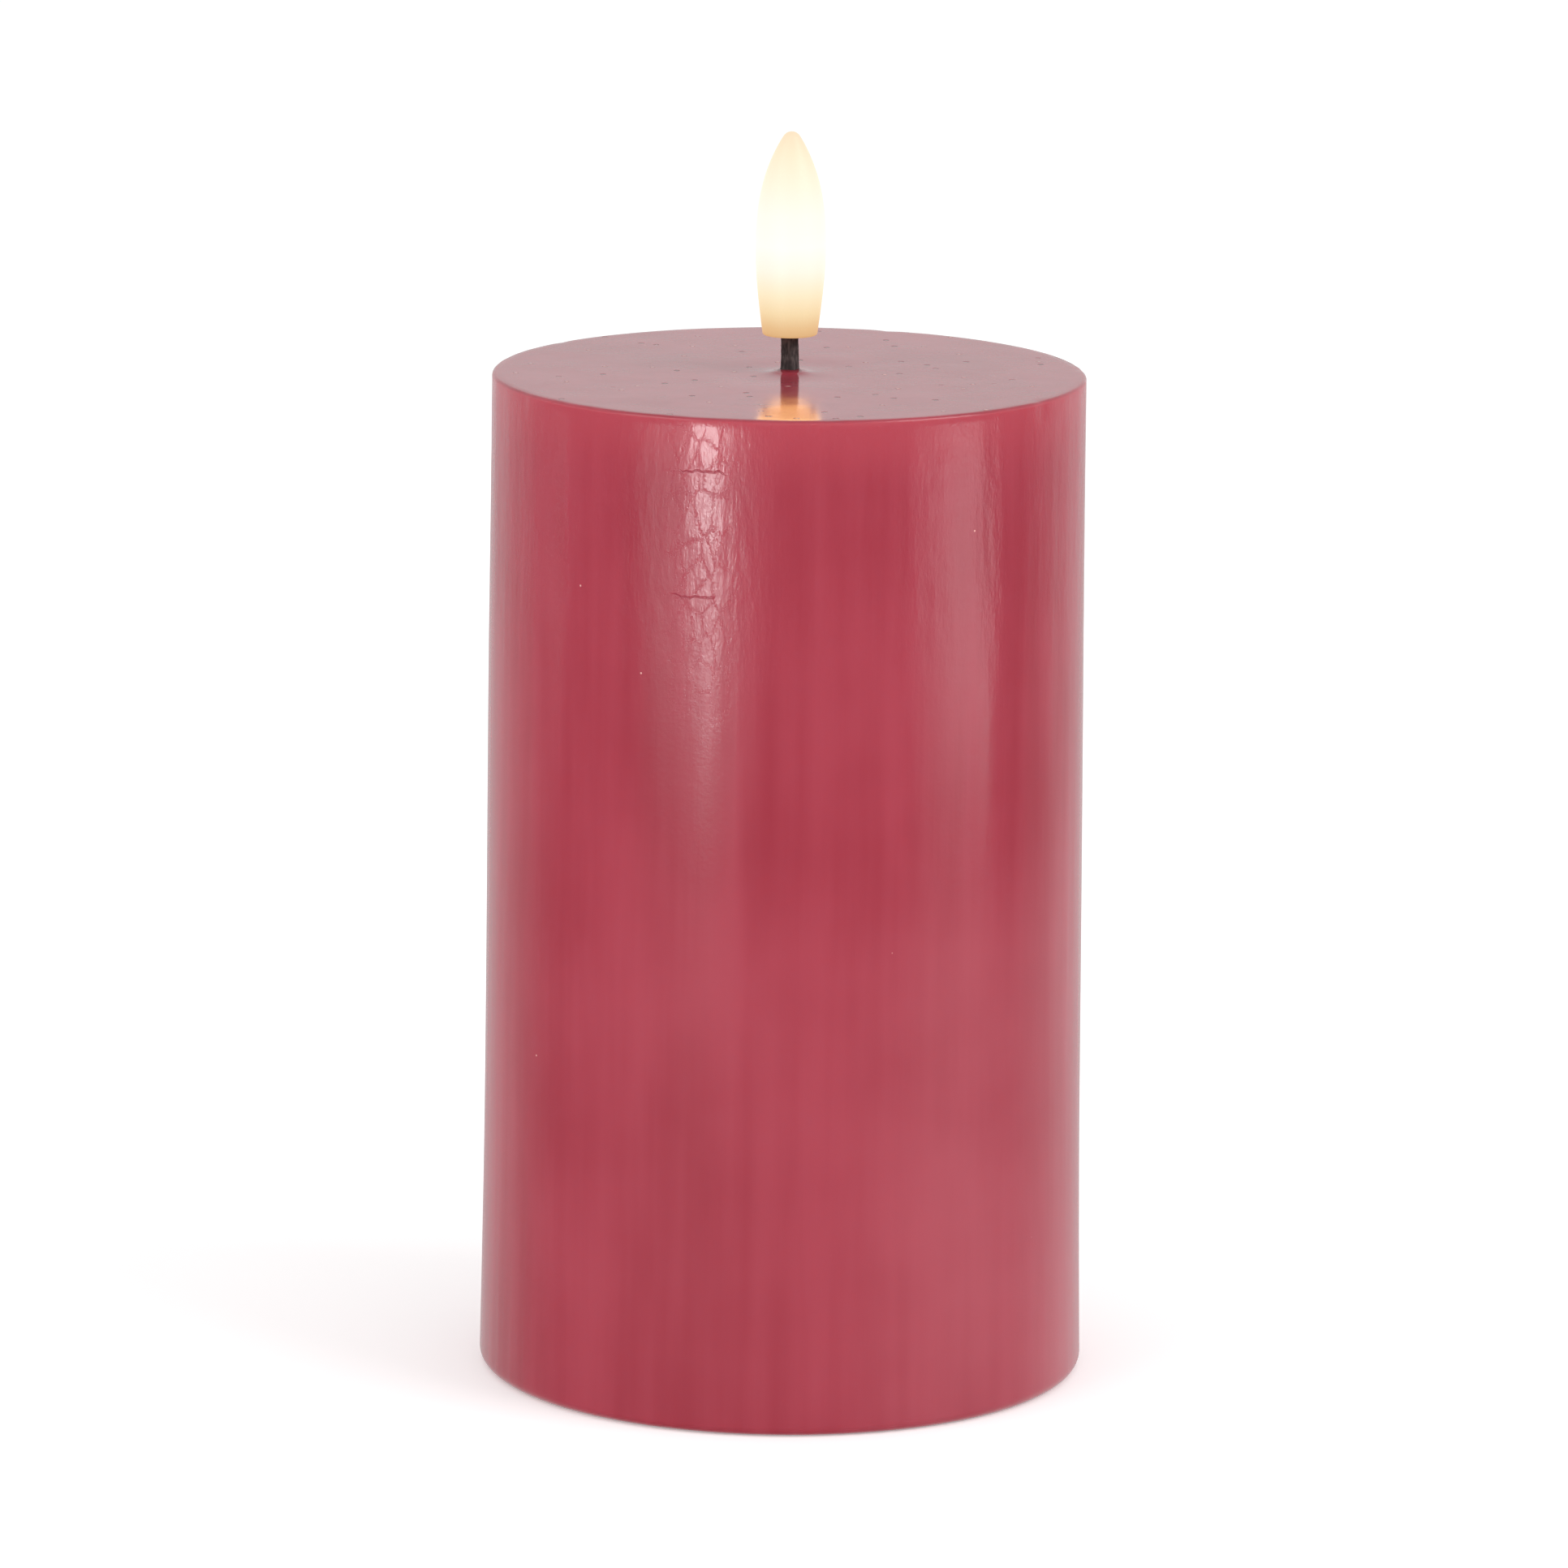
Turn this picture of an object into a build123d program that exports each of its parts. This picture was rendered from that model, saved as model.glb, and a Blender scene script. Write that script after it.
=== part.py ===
from build123d import *
from math import cos, pi, radians, sin, tan
import os

# A flameless LED pillar candle. All sizes are in millimetres.
# The origin is at the centre of the foot, on the table. +Z is up and the front faces -Y.
# The wax is cast round a plastic shell, which a base with the batteries closes from below.

os.makedirs("parts", exist_ok=True)

# ---------------------------------------------------------------- driving dimensions

# Outside of the candle
body_height = 125.0
base_radius = 37.65
side_draft = 1.1  # how much slimmer the top is than the foot
foot_flare = 0.5  # the share of the draft that lies in the flared stretch above the foot
flare_height = 35.0
top_edge_round = 0.6
foot_round = 1.5
wax_wall = 3.6
wax_roof = 5.0

# Plastic shell inside the wax
shell_wall = 1.4
shell_roof = 1.6
shell_draft = 1.0

# Base plate
base_recess = 1.0  # the plate stands this far above the table
plate_thickness = 2.6
plate_clearance = 0.3
ring_height = 2.4
ring_wall = 1.0
ring_clearance = 0.2
ring_gap = 7.5

# Size AA cells and their compartment
cell_diameter = 14.5
cell_length = 50.5
cell_nub_radius = 2.75
cell_nub_height = 1.0
cell_gap = 1.0
cell_side_clearance = 0.5
cell_floor_clearance = 0.6
cell_roof_clearance = 0.8
cell_edge_round = 0.6
contact_thickness = 0.4
contact_margin = 2.25
contact_foot_clearance = 1.0
dimple_height = 0.5
dimple_radius = 2.2
dimple_taper = 30.0
spring_length = 4.2
spring_wire_radius = 0.35
spring_radius = 4.6
spring_tip_radius = 2.4
spring_turns = 3
box_wall = 1.0
box_roof = 1.2
box_corner = 3.6
divider_thickness = 0.8
divider_height = 5.5
tab_width = 3.0
tab_height = 1.9
tab_clearance = 0.2

# Battery door, its hinge and its latch
ledge_width = 1.1
door_clearance = 0.3
door_thickness = 1.6
door_seat_gap = 0.1
door_corner = 3.5
hinge_radius = 1.1
hinge_length = 45.2
hinge_side_clearance = 0.6
hinge_clearance = 0.25
hinge_roof_clearance = 0.3
hinge_roof = 0.9
trunnion_radius = 0.7
trunnion_length = 2.0
trunnion_clearance = 0.05
latch_width = 10.0
latch_thickness = 0.9
latch_inset = 1.3  # from the door's free edge to the near face of the fixed leg
latch_bend_radius = 0.75
latch_leg_height = 4.4
latch_side_clearance = 0.3
latch_tab_reach = 1.7
latch_tab_thickness = 1.0
latch_tab_lift = 0.3
barb_reach = 0.45
barb_height = 1.2
catch_clearance = 0.2
pocket_clearance = 0.9
scoop_radius = 7.0
scoop_depth = 1.6
scoop_offset = 4.7
grip_groove_width = 0.8
grip_groove_depth = 0.3
grip_groove_pitch = 1.6

# Slide switch and circuit board
board_length = 26.0
board_width = 12.2
board_thickness = 1.2
board_gap = 0.8
board_corner = 1.0
switch_length = 12.0
switch_width = 5.0
switch_height = 4.5
switch_wall = 0.6
switch_seat_gap = 0.1
switch_offset = 0.6
switch_travel = 4.0
knob_length = 4.0
knob_width = 2.6
knob_reach = 0.5
knob_clearance = 0.3
knob_foot_length = 6.0
knob_foot_width = 3.4
knob_foot_thickness = 1.0
knob_foot_gap = 0.2
knob_groove_pitch = 1.2
switch_pin_radius = 0.4
switch_pin_pitch = 3.0
switch_pin_height = 2.1
pin_clearance = 0.05
recess_length = 15.0
recess_width = 7.0
recess_depth = 0.6
post_radius = 2.2
post_spacing = 21.0
post_offset = 3.8

# Screws
base_screw_radius = 1.3
base_screw_length = 8.0
base_head_radius = 2.4
base_head_height = 1.5
base_screw_angle = 55.0
boss_radius = 3.0
boss_height = 14.0
boss_overlap = 0.4
board_screw_radius = 1.0
board_screw_length = 5.0
board_head_radius = 1.9
board_head_height = 1.2
screw_clearance = 0.05
base_head_round = 0.5
base_tip_chamfer = 0.5
base_drive_width = 2.6
base_drive_slot = 0.6
board_head_round = 0.4
board_drive_width = 2.0
board_drive_slot = 0.5
drive_depth = 0.6

# Wick and flame
wick_radius = 1.1
wick_bore = 0.74
wick_visible = 4.7
wick_plug = 1.9
wick_tail = 3.0
wick_clearance = 0.05
bushing_flange_radius = 4.5
bushing_flange = 1.2
bushing_radius = 2.5
bushing_length = 8.0
retainer_radius = 3.0
retainer_thickness = 0.7
retainer_ring = 0.8
retainer_tooth_width = 1.6
retainer_teeth = 4
flame_height = 25.1
flame_base_radius = 3.35
flame_belly_radius = 4.33
flame_wall = 1.2
flame_foot_round = 0.35
flame_tip_radius = 1.2
cavity_tip_radius = 0.5
cavity_tip_wall = 1.5
collar_height = 4.0
lamp_radius = 1.5
lamp_rim_radius = 1.9
lamp_rim_height = 1.0
lamp_height = 5.3
lamp_crown_radius = 0.05  # the tiny flat on top of the dome
lead_radius = 0.25
lead_offset = 0.38
lead_length = 6.4

# Wires
battery_wire_radius = 0.55
lamp_wire_radius = 0.3
clip_width = 5.0
clip_height = 3.0
clip_reach = 3.4
clip_slot = 2.2
clip_levels = (35.0, 70.0)
solder_drop = 0.8  # from a tab's tip down to its wire

# ---------------------------------------------------------------- worked-out sizes

top_radius = base_radius - side_draft
flare_radius = base_radius - foot_flare
shell_radius = base_radius - wax_wall
shell_inner_radius = shell_radius - shell_wall
shell_top = body_height - wax_roof
plate_radius = shell_radius - plate_clearance
plate_top = base_recess + plate_thickness

cell_radius = cell_diameter / 2
cell_y = (cell_diameter + cell_gap) / 2
cavity_length = cell_length + spring_length + dimple_height + 2 * contact_thickness
cavity_width = 2 * cell_diameter + cell_gap + 2 * cell_side_clearance
door_top = base_recess + door_thickness
ledge_z = door_top + door_seat_gap
cell_z = door_top + cell_floor_clearance + cell_radius
cavity_top = cell_z + cell_radius + cell_roof_clearance
box_length = cavity_length + 2 * box_wall
box_width = cavity_width + 2 * box_wall
box_top = cavity_top + box_roof

recess_half_length = cavity_length / 2 + ledge_width
recess_half_width = cavity_width / 2 + ledge_width
door_half_length = recess_half_length - door_clearance
door_rear = recess_half_width - door_clearance
hinge_y = -recess_half_width
hinge_z = base_recess + hinge_radius
hinge_half = hinge_length / 2
recess_front = -cavity_width / 2
door_front = recess_front + hinge_side_clearance
barrel_pocket_front = hinge_y - hinge_radius - hinge_clearance
barrel_pocket_top = hinge_z + hinge_radius + hinge_roof_clearance

latch_leg_y = door_rear - latch_inset
latch_bend_y = latch_leg_y + latch_thickness + latch_bend_radius
latch_bend_z = door_top + latch_leg_height
latch_outer_y = latch_bend_y + latch_bend_radius + latch_thickness
latch_foot_z = base_recess + latch_tab_lift
latch_barb_z = plate_top + door_seat_gap
catch_y = latch_outer_y + barb_reach + catch_clearance
pocket_y = latch_outer_y + pocket_clearance
pocket_half = latch_width / 2 + latch_side_clearance
pocket_top = latch_bend_z + latch_bend_radius + latch_thickness + pocket_clearance
scoop_y = door_rear + scoop_offset

board_y = -(box_width / 2 + board_gap + board_width / 2)
board_z = plate_top + switch_seat_gap + switch_height
board_top = board_z + board_thickness
switch_y = board_y - switch_offset
switch_z = plate_top + switch_seat_gap
post_y = board_y + post_offset
slot_length = knob_length + switch_travel + 2 * knob_clearance
slot_width = knob_width + 2 * knob_clearance

screw_circle = shell_inner_radius + boss_overlap - boss_radius
flame_z = body_height + wick_visible
wick_top = flame_z + wick_plug
bushing_bottom = shell_top - bushing_length
wick_bottom = bushing_bottom - wick_tail
collar_top = flame_z + collar_height
lead_bottom = collar_top - lead_length


def shell_radius_at(height):
    """Inner radius of the drafted shell at a height above the table."""
    share = (height - plate_top) / (shell_top - plate_top)
    return shell_inner_radius - shell_draft * share


def base_screw_places():
    """The four base screws, on one circle."""
    angles = (
        base_screw_angle,
        180 - base_screw_angle,
        180 + base_screw_angle,
        -base_screw_angle,
    )
    corners = [Vector(screw_circle, 0).rotate(Axis.Z, angle) for angle in angles]
    return [(corner.X, corner.Y) for corner in corners]


def board_screw_places():
    """The two screws that hold the circuit board, one on each side of the switch."""
    return [(-post_spacing / 2, post_y), (post_spacing / 2, post_y)]


def bend_radii(points):
    """The largest arc that each corner of a wire's route has room for."""
    radii = []
    for before, corner, after in zip(points, points[1:], points[2:]):
        arriving = Vector(*corner) - Vector(*before)
        leaving = Vector(*after) - Vector(*corner)
        half_turn = radians(arriving.get_angle(leaving)) / 2
        shorter = min(arriving.length, leaving.length)
        radii.append(0.45 * shorter / tan(half_turn))
    return radii


# ---------------------------------------------------------------- wax body

# The side is drafted, and opens out a little more above the foot.
with BuildPart() as wax_body:
    with BuildSketch(Plane.XZ) as wax_section:
        with BuildLine():
            roof = Line((0, body_height), (top_radius, body_height))
            side = Line(roof @ 1, (flare_radius, flare_height))
            flare = TangentArc(side @ 1, (base_radius, 0), tangent=side % 1)
            Polyline(
                flare @ 1,
                (shell_radius, 0),
                (shell_radius, plate_top),
                (shell_radius - shell_draft, shell_top),
                (0, shell_top),
                roof @ 0,
            )
        make_face()
        outer_edge = wax_section.vertices().group_by(Axis.X)[-1]
        fillet(outer_edge, foot_round)
        rim = wax_section.vertices().group_by(Axis.Y)[-1].sort_by(Axis.X)[-1]
        fillet(rim, top_edge_round)
    revolve(axis=Axis.Z)
    with BuildSketch(Plane.XY.offset(shell_top)):
        Circle(bushing_flange_radius + wick_clearance)
    extrude(amount=bushing_flange + wick_clearance, mode=Mode.SUBTRACT)
    with BuildSketch(Plane.XY.offset(shell_top)):
        Circle(wick_radius + wick_clearance)
    extrude(amount=wax_roof, mode=Mode.SUBTRACT)

wax_body.part.label = "wax_body"
export_step(wax_body.part, "parts/wax_body.step")

# ---------------------------------------------------------------- inner shell

# An upturned cup with four screw bosses at its mouth and two wire clips on its front wall.
with BuildPart() as inner_shell:
    with BuildSketch(Plane.XZ):
        with BuildLine():
            Polyline(
                (shell_inner_radius, plate_top),
                (shell_radius, plate_top),
                (shell_radius - shell_draft, shell_top),
                (0, shell_top),
                (0, shell_top - shell_roof),
                (shell_radius_at(shell_top - shell_roof), shell_top - shell_roof),
                close=True,
            )
        make_face()
    revolve(axis=Axis.Z)
    with BuildSketch(Plane.XY.offset(plate_top)):
        with Locations(*base_screw_places()):
            Circle(boss_radius)
    extrude(amount=boss_height)
    with BuildSketch(Plane.XY.offset(plate_top)):
        with Locations(*base_screw_places()):
            Circle(base_screw_radius + screw_clearance)
    extrude(amount=base_screw_length, mode=Mode.SUBTRACT)
    with BuildSketch(Plane.XY.offset(shell_top)):
        Circle(bushing_radius + wick_clearance)
    extrude(amount=-shell_roof, mode=Mode.SUBTRACT)
    for level in clip_levels:
        wall_y = -shell_radius_at(level)
        with BuildSketch(Plane.XY.offset(level)):
            with Locations((0, wall_y - shell_wall / 2)):
                Rectangle(clip_width, clip_reach + shell_wall / 2, align=(Align.CENTER, Align.MIN))
            with Locations((0, wall_y + shell_wall / 2)):
                Rectangle(clip_slot, clip_reach, align=(Align.CENTER, Align.MIN), mode=Mode.SUBTRACT)
        extrude(amount=clip_height)

inner_shell.part.label = "inner_shell"
export_step(inner_shell.part, "parts/inner_shell.step")

# ---------------------------------------------------------------- base housing

# The round plate carries the battery box, the hinge pocket, the latch pocket, the board posts
# and the ring that centres it in the shell.
with BuildPart() as base_housing:
    with BuildSketch(Plane.XY.offset(base_recess)):
        Circle(plate_radius)
    extrude(amount=plate_thickness)
    with BuildSketch(Plane.XY.offset(plate_top)):
        Circle(shell_inner_radius - ring_clearance)
        Circle(shell_inner_radius - ring_clearance - ring_wall, mode=Mode.SUBTRACT)
        for place in base_screw_places():
            with Locations(Location(place, Vector(*place).get_signed_angle(Vector(-1, 0)))):
                Rectangle(ring_gap, ring_gap, mode=Mode.SUBTRACT)
    extrude(amount=ring_height)
    with BuildSketch(Plane.XY.offset(plate_top)):
        RectangleRounded(box_length, box_width, box_corner)
    extrude(amount=box_top - plate_top)
    # hood over the hinge pocket
    with BuildSketch(Plane.XY.offset(plate_top)):
        with Locations((0, -box_width / 2)):
            Rectangle(
                hinge_length + 2 * door_clearance + 2 * box_wall,
                box_wall - barrel_pocket_front - box_width / 2,
                align=(Align.CENTER, Align.MAX),
            )
    extrude(amount=barrel_pocket_top + hinge_roof - plate_top)
    # hood over the latch pocket
    with BuildSketch(Plane.XY.offset(plate_top)):
        Rectangle(
            2 * (pocket_half + box_wall),
            pocket_y + box_wall,
            align=(Align.CENTER, Align.MIN),
        )
    extrude(amount=pocket_top + box_wall - plate_top)
    # board posts
    with BuildSketch(Plane.XY.offset(plate_top)):
        with Locations(*board_screw_places()):
            Circle(post_radius)
    extrude(amount=board_z - plate_top)
    # battery compartment, with a low divider left under its roof
    with BuildSketch(Plane.XY.offset(cavity_top)):
        RectangleRounded(cavity_length, cavity_width, box_corner - box_wall)
    extrude(amount=ledge_z - cavity_top, mode=Mode.SUBTRACT)
    with BuildSketch(Plane.XY.offset(cavity_top)):
        Rectangle(cavity_length - 2 * spring_length, divider_thickness)
    extrude(amount=-divider_height)
    # recess for the door and its hinge
    with BuildSketch(Plane.XY.offset(base_recess)):
        with Locations((0, recess_front)):
            Rectangle(
                2 * recess_half_length,
                recess_half_width - recess_front,
                align=(Align.CENTER, Align.MIN),
            )
        rear_corners = vertices().group_by(Axis.Y)[-1]
        fillet(rear_corners, door_corner + door_clearance)
    extrude(amount=ledge_z - base_recess, mode=Mode.SUBTRACT)
    with BuildSketch(Plane.XY.offset(base_recess)):
        with Locations((0, barrel_pocket_front)):
            Rectangle(
                hinge_length + 2 * door_clearance,
                recess_front - barrel_pocket_front,
                align=(Align.CENTER, Align.MIN),
            )
    extrude(amount=barrel_pocket_top - base_recess, mode=Mode.SUBTRACT)
    with BuildSketch(Plane.YZ.offset(-hinge_half - trunnion_length - door_clearance)):
        with Locations((hinge_y, hinge_z)):
            Circle(trunnion_radius + trunnion_clearance)
    extrude(amount=hinge_length + 2 * (trunnion_length + door_clearance), mode=Mode.SUBTRACT)
    # pocket for the latch, closed outside the catch
    with BuildSketch(Plane.XY.offset(plate_top)):
        with Locations((0, latch_leg_y - door_clearance)):
            Rectangle(
                2 * pocket_half,
                pocket_y - latch_leg_y + door_clearance,
                align=(Align.CENTER, Align.MIN),
            )
    extrude(amount=pocket_top - plate_top, mode=Mode.SUBTRACT)
    with BuildSketch(Plane.XY.offset(base_recess)):
        with Locations((0, latch_leg_y - door_clearance)):
            Rectangle(
                2 * pocket_half,
                catch_y - latch_leg_y + door_clearance,
                align=(Align.CENTER, Align.MIN),
            )
    extrude(amount=plate_thickness, mode=Mode.SUBTRACT)
    with BuildSketch(Plane.XY.offset(base_recess)):
        with Locations((0, scoop_y)):
            Circle(scoop_radius)
    extrude(amount=scoop_depth, mode=Mode.SUBTRACT)
    # switch slot in its shallow finger recess
    with BuildSketch(Plane.XY.offset(base_recess)):
        with Locations((0, switch_y)):
            SlotOverall(recess_length, recess_width)
    extrude(amount=recess_depth, mode=Mode.SUBTRACT)
    with BuildSketch(Plane.XY.offset(base_recess)):
        with Locations((0, switch_y)):
            Rectangle(slot_length, slot_width)
    extrude(amount=plate_thickness, mode=Mode.SUBTRACT)
    # holes for the base screws, from below
    with Locations(Plane.XY.offset(base_recess)):
        with Locations(*base_screw_places()):
            CounterBoreHole(
                base_screw_radius + screw_clearance,
                base_head_radius + screw_clearance,
                base_head_height + screw_clearance,
                plate_thickness,
            )
    # holes for the board screws, from above
    with BuildSketch(Plane.XY.offset(board_z)):
        with Locations(*board_screw_places()):
            Circle(board_screw_radius + screw_clearance)
    extrude(amount=board_thickness - board_screw_length, mode=Mode.SUBTRACT)
    # slots in the box roof for the two solder tabs
    with BuildSketch(Plane.XY.offset(box_top)):
        with Locations((-cavity_length / 2, -cell_y), (-cavity_length / 2, cell_y)):
            Rectangle(
                2 * (contact_thickness + tab_clearance),
                tab_width + 2 * tab_clearance,
            )
    extrude(amount=-box_roof, mode=Mode.SUBTRACT)

base_housing.part.label = "base_housing"
export_step(base_housing.part, "parts/base_housing.step")

# ---------------------------------------------------------------- battery door

# A flat lid with a hinge barrel along its front edge and the fixed leg of the latch at its rear.
with BuildPart() as battery_door:
    with BuildSketch(Plane.XY.offset(base_recess)):
        with Locations((0, door_front)):
            Rectangle(
                2 * door_half_length,
                door_rear - door_front,
                align=(Align.CENTER, Align.MIN),
            )
        rear_corners = vertices().group_by(Axis.Y)[-1]
        fillet(rear_corners, door_corner)
        with Locations((0, hinge_y)):
            Rectangle(hinge_length, door_front - hinge_y, align=(Align.CENTER, Align.MIN))
    extrude(amount=door_thickness)
    with BuildSketch(Plane.YZ.offset(-hinge_half)):
        with Locations((hinge_y, hinge_z)):
            Circle(hinge_radius)
    extrude(amount=hinge_length)
    with BuildSketch(Plane.YZ.offset(-hinge_half - trunnion_length)):
        with Locations((hinge_y, hinge_z)):
            Circle(trunnion_radius)
    extrude(amount=hinge_length + 2 * trunnion_length)
    with BuildSketch(Plane.XY.offset(door_top)):
        with Locations((0, latch_leg_y)):
            Rectangle(latch_width, latch_thickness, align=(Align.CENTER, Align.MIN))
    extrude(amount=latch_leg_height)

battery_door.part.label = "battery_door"
export_step(battery_door.part, "parts/battery_door.step")

# ---------------------------------------------------------------- door latch

# The springy half of the latch: a half-round bend, a hanging leg with a barb, and a finger tab.
latch_far_y = latch_bend_y + latch_bend_radius
latch_start = (latch_leg_y, latch_bend_z)
latch_crown = (latch_bend_y, latch_bend_z + latch_bend_radius + latch_thickness)
latch_inner_crown = (latch_bend_y, latch_bend_z + latch_bend_radius)
latch_inner_start = (latch_leg_y + latch_thickness, latch_bend_z)

with BuildPart() as door_latch:
    with BuildSketch(Plane.YZ.offset(-latch_width / 2)):
        with BuildLine():
            outer = ThreePointArc(latch_start, latch_crown, (latch_outer_y, latch_bend_z))
            Polyline(
                outer @ 1,
                (latch_outer_y, latch_barb_z + barb_height),
                (latch_outer_y + barb_reach, latch_barb_z),
                (latch_outer_y, latch_barb_z),
                (latch_outer_y, latch_foot_z + latch_tab_thickness),
                (latch_outer_y + latch_tab_reach, latch_foot_z + latch_tab_thickness),
                (latch_outer_y + latch_tab_reach, latch_foot_z),
                (latch_far_y, latch_foot_z),
                (latch_far_y, latch_bend_z),
            )
            ThreePointArc((latch_far_y, latch_bend_z), latch_inner_crown, latch_inner_start)
            Line(latch_inner_start, latch_start)
        make_face()
    extrude(amount=latch_width)
    with BuildSketch(Plane.XY.offset(latch_foot_z)):
        with Locations((0, latch_outer_y + latch_tab_reach / 2)):
            with GridLocations(grip_groove_pitch, 1, 4, 1):
                Rectangle(grip_groove_width, latch_tab_reach)
    extrude(amount=grip_groove_depth, mode=Mode.SUBTRACT)

door_latch.part.label = "door_latch"
export_step(door_latch.part, "parts/door_latch.step")

# ---------------------------------------------------------------- cells

# Each cell's nub points the other way, and rests on a dimple of the contact at its end.
contact_x = cavity_length / 2
nub_x = contact_x - contact_thickness - dimple_height

with BuildPart() as battery_front:
    with BuildSketch(Plane.YZ.offset(-nub_x)):
        with Locations((-cell_y, cell_z)):
            Circle(cell_nub_radius)
    extrude(amount=cell_nub_height)
    with BuildSketch(Plane.YZ.offset(-nub_x + cell_nub_height)):
        with Locations((-cell_y, cell_z)):
            Circle(cell_radius)
    extrude(amount=cell_length - cell_nub_height)
    rims = battery_front.edges().filter_by(GeomType.CIRCLE)
    fillet(rims.filter_by(lambda rim: rim.radius > cell_nub_radius + cell_edge_round), cell_edge_round)

battery_front.part.label = "battery_front"
export_step(battery_front.part, "parts/battery_front.step")

with BuildPart() as battery_rear:
    with BuildSketch(Plane.YZ.offset(nub_x - cell_nub_height)):
        with Locations((cell_y, cell_z)):
            Circle(cell_nub_radius)
    extrude(amount=cell_nub_height)
    with BuildSketch(Plane.YZ.offset(nub_x - cell_length)):
        with Locations((cell_y, cell_z)):
            Circle(cell_radius)
    extrude(amount=cell_length - cell_nub_height)
    rims = battery_rear.edges().filter_by(GeomType.CIRCLE)
    fillet(rims.filter_by(lambda rim: rim.radius > cell_nub_radius + cell_edge_round), cell_edge_round)

battery_rear.part.label = "battery_rear"
export_step(battery_rear.part, "parts/battery_rear.step")

# ---------------------------------------------------------------- contacts

contact_width = cell_diameter - 2 * contact_margin
contact_bottom = ledge_z + contact_foot_clearance
contact_top = cavity_top - contact_foot_clearance
tab_top = box_top + tab_height

# One plate joins the two cells: a spring presses on the front one and a dimple meets the rear one.
with BuildPart() as bridge_contact:
    with BuildSketch(Plane.YZ.offset(contact_x - contact_thickness)):
        with Locations((0, contact_bottom)):
            Rectangle(
                2 * cell_y + contact_width,
                contact_top - contact_bottom,
                align=(Align.CENTER, Align.MIN),
            )
    extrude(amount=contact_thickness)
    with BuildSketch(Plane.YZ.offset(contact_x - contact_thickness)):
        with Locations((cell_y, cell_z)):
            Circle(dimple_radius)
    extrude(amount=-dimple_height, taper=dimple_taper)

bridge_contact.part.label = "bridge_contact"
export_step(bridge_contact.part, "parts/bridge_contact.step")

with BuildPart() as positive_contact:
    with BuildSketch(Plane.YZ.offset(-contact_x)):
        with Locations((-cell_y, contact_bottom)):
            Rectangle(
                contact_width,
                contact_top - contact_bottom,
                align=(Align.CENTER, Align.MIN),
            )
            Rectangle(tab_width, tab_top - contact_bottom, align=(Align.CENTER, Align.MIN))
    extrude(amount=contact_thickness)
    with BuildSketch(Plane.YZ.offset(contact_thickness - contact_x)):
        with Locations((-cell_y, cell_z)):
            Circle(dimple_radius)
    extrude(amount=dimple_height, taper=dimple_taper)

positive_contact.part.label = "positive_contact"
export_step(positive_contact.part, "parts/positive_contact.step")

with BuildPart() as negative_contact:
    with BuildSketch(Plane.YZ.offset(-contact_x)):
        with Locations((cell_y, contact_bottom)):
            Rectangle(
                contact_width,
                contact_top - contact_bottom,
                align=(Align.CENTER, Align.MIN),
            )
            Rectangle(tab_width, tab_top - contact_bottom, align=(Align.CENTER, Align.MIN))
    extrude(amount=contact_thickness)

negative_contact.part.label = "negative_contact"
export_step(negative_contact.part, "parts/negative_contact.step")

# ---------------------------------------------------------------- contact springs

# Conical coils that nest as they are pressed, wide at the plate and narrow at the cell.
spring_rise = spring_length - 2 * spring_wire_radius
spring_angle = Vector(spring_rise, spring_radius - spring_tip_radius).get_angle(Vector(1, 0))
spring_plate_x = contact_x - contact_thickness

with BuildPart() as negative_spring:
    with BuildLine() as coil:
        Helix(
            pitch=spring_rise / spring_turns,
            height=spring_rise,
            radius=spring_radius,
            center=(spring_wire_radius - spring_plate_x, cell_y, cell_z),
            direction=(1, 0, 0),
            cone_angle=-spring_angle,
        )
    with BuildSketch(Plane(origin=coil.line @ 0, z_dir=coil.line % 0)):
        Circle(spring_wire_radius)
    sweep(is_frenet=True)

negative_spring.part.label = "negative_spring"
export_step(negative_spring.part, "parts/negative_spring.step")

# The same coil, turned half round, stands on the bridge.
with BuildPart() as bridge_spring:
    add(negative_spring.part.rotate(Axis.Z, 180))

bridge_spring.part.label = "bridge_spring"
export_step(bridge_spring.part, "parts/bridge_spring.step")

# ---------------------------------------------------------------- slide switch

# The case is a small closed box on the underside of the board, with a slot for the knob.
with BuildPart() as switch_case:
    with BuildSketch(Plane.XY.offset(switch_z)):
        with Locations((0, switch_y)):
            Rectangle(switch_length, switch_width)
    extrude(amount=switch_height)
    with BuildSketch(Plane.XY.offset(switch_z + switch_wall)):
        with Locations((0, switch_y)):
            Rectangle(switch_length - 2 * switch_wall, switch_width - 2 * switch_wall)
    extrude(amount=switch_height - 2 * switch_wall, mode=Mode.SUBTRACT)
    with BuildSketch(Plane.XY.offset(switch_z)):
        with Locations((0, switch_y)):
            Rectangle(slot_length, slot_width)
    extrude(amount=switch_wall, mode=Mode.SUBTRACT)

switch_case.part.label = "switch_case"
export_step(switch_case.part, "parts/switch_case.step")

# The knob rests at its "on" end, on the left seen from the front.
knob_x = -switch_travel / 2
knob_foot_z = switch_z + switch_wall + knob_foot_gap

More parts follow.
